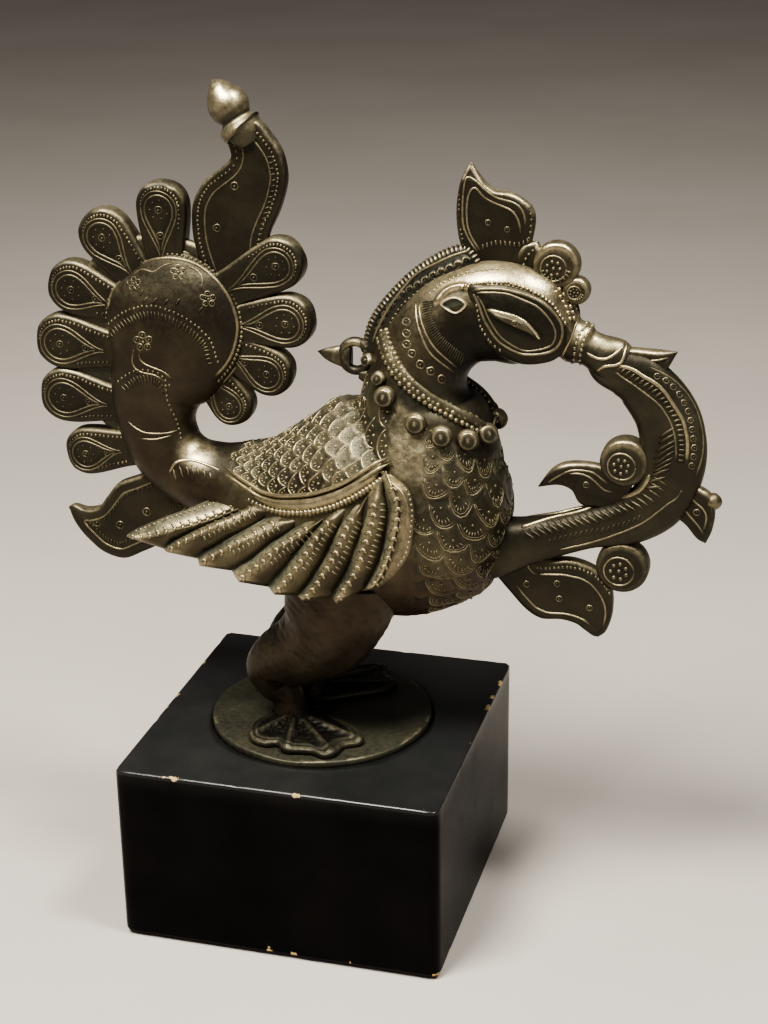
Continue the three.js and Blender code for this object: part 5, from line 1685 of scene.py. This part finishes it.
def makePlinth():
    # the square outline with rounded corners, carried up the block, over the bevel and in to the round recess
    columns = 256
    turn = (np.arange(columns) + 0.5)*2*np.pi/columns
    reach = 1/np.maximum(np.abs(np.cos(turn)), np.abs(np.sin(turn)))
    square = np.stack([np.cos(turn), np.sin(turn)], axis=1)*reach[:, None]
    circle = np.stack([np.cos(turn), np.sin(turn)], axis=1)*plinth["recess"]
    half, bevel = plinth["half"], plinth["bevel"]
    rows = []
    arc = np.linspace(0, np.pi/2, 6)
    rows += [(0.02, plinth["bottom"], 0), (half - bevel, plinth["bottom"], 0)]
    rows += [(half - bevel*0.5*(1 - np.sin(t)), plinth["bottom"] + bevel*0.5*(1 - np.cos(t)), 0) for t in arc]
    rows += [(half, z, 0) for z in np.linspace(plinth["bottom"] + 2, plinth["top"] - bevel - 0.5, 12)]
    rows += [(half - bevel*(1 - np.cos(t)), plinth["top"] - bevel*(1 - np.sin(t)), 0) for t in arc]
    rows += [(half - bevel, plinth["top"], share) for share in np.linspace(0.04, 1, 10)]
    rows += [(0, plinth["top"] - plinth["recessDepth"], 1.0), (0, plinth["top"] - plinth["recessDepth"], 2.0)]
    rows = np.array(rows, float)
    inward = np.clip(rows[:, 2], 0, 1)[:, None, None]
    flat = square[None]*rows[:, 0][:, None, None]*(1 - inward) + circle[None]*inward
    flat = np.where((rows[:, 2] == 2)[:, None, None], circle[None]*0.02, flat)
    corner = np.clip((np.hypot(flat[..., 0], flat[..., 1]) - half*1.385)/(half*0.03), 0, 1)
    flat = flat*(1 - 0.012*corner[..., None])
    points = np.stack([flat[..., 0], flat[..., 1], np.broadcast_to(rows[:, 1:2], flat.shape[:2])], axis=-1)
    edgeX = half - np.abs(points[..., 0])
    edgeY = half - np.abs(points[..., 1])
    edgeZ = np.minimum(plinth["top"] - points[..., 2], points[..., 2] - plinth["bottom"])
    gaps = np.sort(np.stack([edgeX, edgeY, edgeZ], axis=-1), axis=-1)
    nearEdge = np.clip(1 - gaps[..., 1]/3.0, 0, 1)
    dent = np.clip(uneven(points, 12, 51) - 0.5, 0, 1)*nearEdge
    points = points - dent[..., None]*0.7*np.array([0, 0, 1.0])
    chips = nearEdge*np.clip(uneven(points, 7, 53) + 0.5*uneven(points, 30, 55) - 0.55, 0, 1)*1.6
    part = Part()
    # the top face is marked for a lighter grey with more shine: a painted sheen of light from above
    upper = np.clip((points[..., 2] - plinth["top"] + 2.5)/2, 0, 1)
    part.addTube(points, finish(chips.shape, chips, upper, 0, 0), 0)
    piece = part.build("plinth_block", blackPaint(), replaces=False)
    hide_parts("plinth")


makePlinth()
felt = simpleMaterial("darkFelt", (0.020, 0.012, 0.016), (0.045, 0.028, 0.036), 0.95, 900, 0.0006)
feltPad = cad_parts["felt_pad"]
feltPad.data.materials.clear()
feltPad.data.materials.append(felt)
print("plinth made")

# floor, light and camera
view = {"azimuth": 15.827, "elevation": 21.81, "roll": -0.765, "right": 28.388, "up": 178.226, "distance": 957.755,
        "focal": 1926.0, "frameHigh": 1024.0}


def placeCamera():
    # turntable camera: three axes from its azimuth, elevation and roll, then set back along its line of sight
    az, el, roll = np.radians([view["azimuth"], view["elevation"], view["roll"]])
    back = np.array([np.sin(az)*np.cos(el), -np.cos(az)*np.cos(el), np.sin(el)])
    right0 = np.array([np.cos(az), np.sin(az), 0])
    up0 = np.cross(back, right0)
    right = np.cos(roll)*right0 + np.sin(roll)*up0
    up = -np.sin(roll)*right0 + np.cos(roll)*up0
    spotAt = (view["right"]*right + view["up"]*up + view["distance"]*back)*metre
    camera = bpy.data.cameras.new("camera")
    camera.sensor_fit = "AUTO"
    camera.sensor_width = 36.0
    camera.lens = view["focal"]*camera.sensor_width/view["frameHigh"]
    camera.clip_start = 0.01
    holder = bpy.data.objects.new("camera", camera)
    axes = np.eye(4)
    axes[:3, 0], axes[:3, 1], axes[:3, 2], axes[:3, 3] = right, up, back, spotAt
    holder.matrix_world = Matrix(axes.tolist())
    bpy.context.scene.collection.objects.link(holder)
    bpy.context.scene.camera = holder


def areaLight(name, place, aim, size, power, colour):
    light = bpy.data.lights.new(name, "AREA")
    light.shape = "RECTANGLE"
    light.size, light.size_y = size
    light.energy = power
    light.color = colour
    holder = bpy.data.objects.new(name, light)
    place, aim = np.array(place, float), np.array(aim, float)
    back = (place - aim)/np.linalg.norm(place - aim)
    right = np.cross([0, 0, 1.0], back)
    right = right/np.linalg.norm(right)
    axes = np.eye(4)
    axes[:3, 0], axes[:3, 1], axes[:3, 2], axes[:3, 3] = right, np.cross(back, right), back, place
    holder.matrix_world = Matrix(axes.tolist())
    bpy.context.scene.collection.objects.link(holder)


def makeStage():
    # pale flat floor under a plain pale world
    size = 4.0
    mesh = bpy.data.meshes.new("floor")
    mesh.from_pydata([(-size, -size, 0), (size, -size, 0), (size, size, 0), (-size, size, 0)], [], [(0, 1, 2, 3)])
    n = Nodes("paleFloor")
    n.join(n.mix(n.ramp(n.noise(3.0), 0.3, 0.7), (0.60, 0.55, 0.50), (0.64, 0.59, 0.54)), n.shader.inputs["Base Color"])
    n.shader.inputs["Roughness"].default_value = 0.85
    mesh.materials.append(n.material)
    floor = bpy.data.objects.new("floor", mesh)
    bpy.context.scene.collection.objects.link(floor)
    world = bpy.data.worlds.new("world")
    world.use_nodes = True
    world.node_tree.nodes["Background"].inputs["Color"].default_value = (0.62, 0.58, 0.55, 1)
    world.node_tree.nodes["Background"].inputs["Strength"].default_value = 0.16
    bpy.context.scene.world = world


placeCamera()
makeStage()
areaLight("key", (-0.30, -0.60, 1.40), (0, 0, 0.2), (0.50, 0.50), 34, (1.0, 0.96, 0.87))
areaLight("top", (0.55, -0.20, 1.35), (0, 0, 0.2), (0.25, 0.25), 12, (1.0, 0.97, 0.90))
areaLight("fill", (1.2, -1.0, 0.7), (0, 0, 0.2), (0.9, 0.9), 2, (0.92, 0.94, 1.0))
bpy.context.scene.view_settings.look = "AgX - Medium High Contrast"
print("stage set")
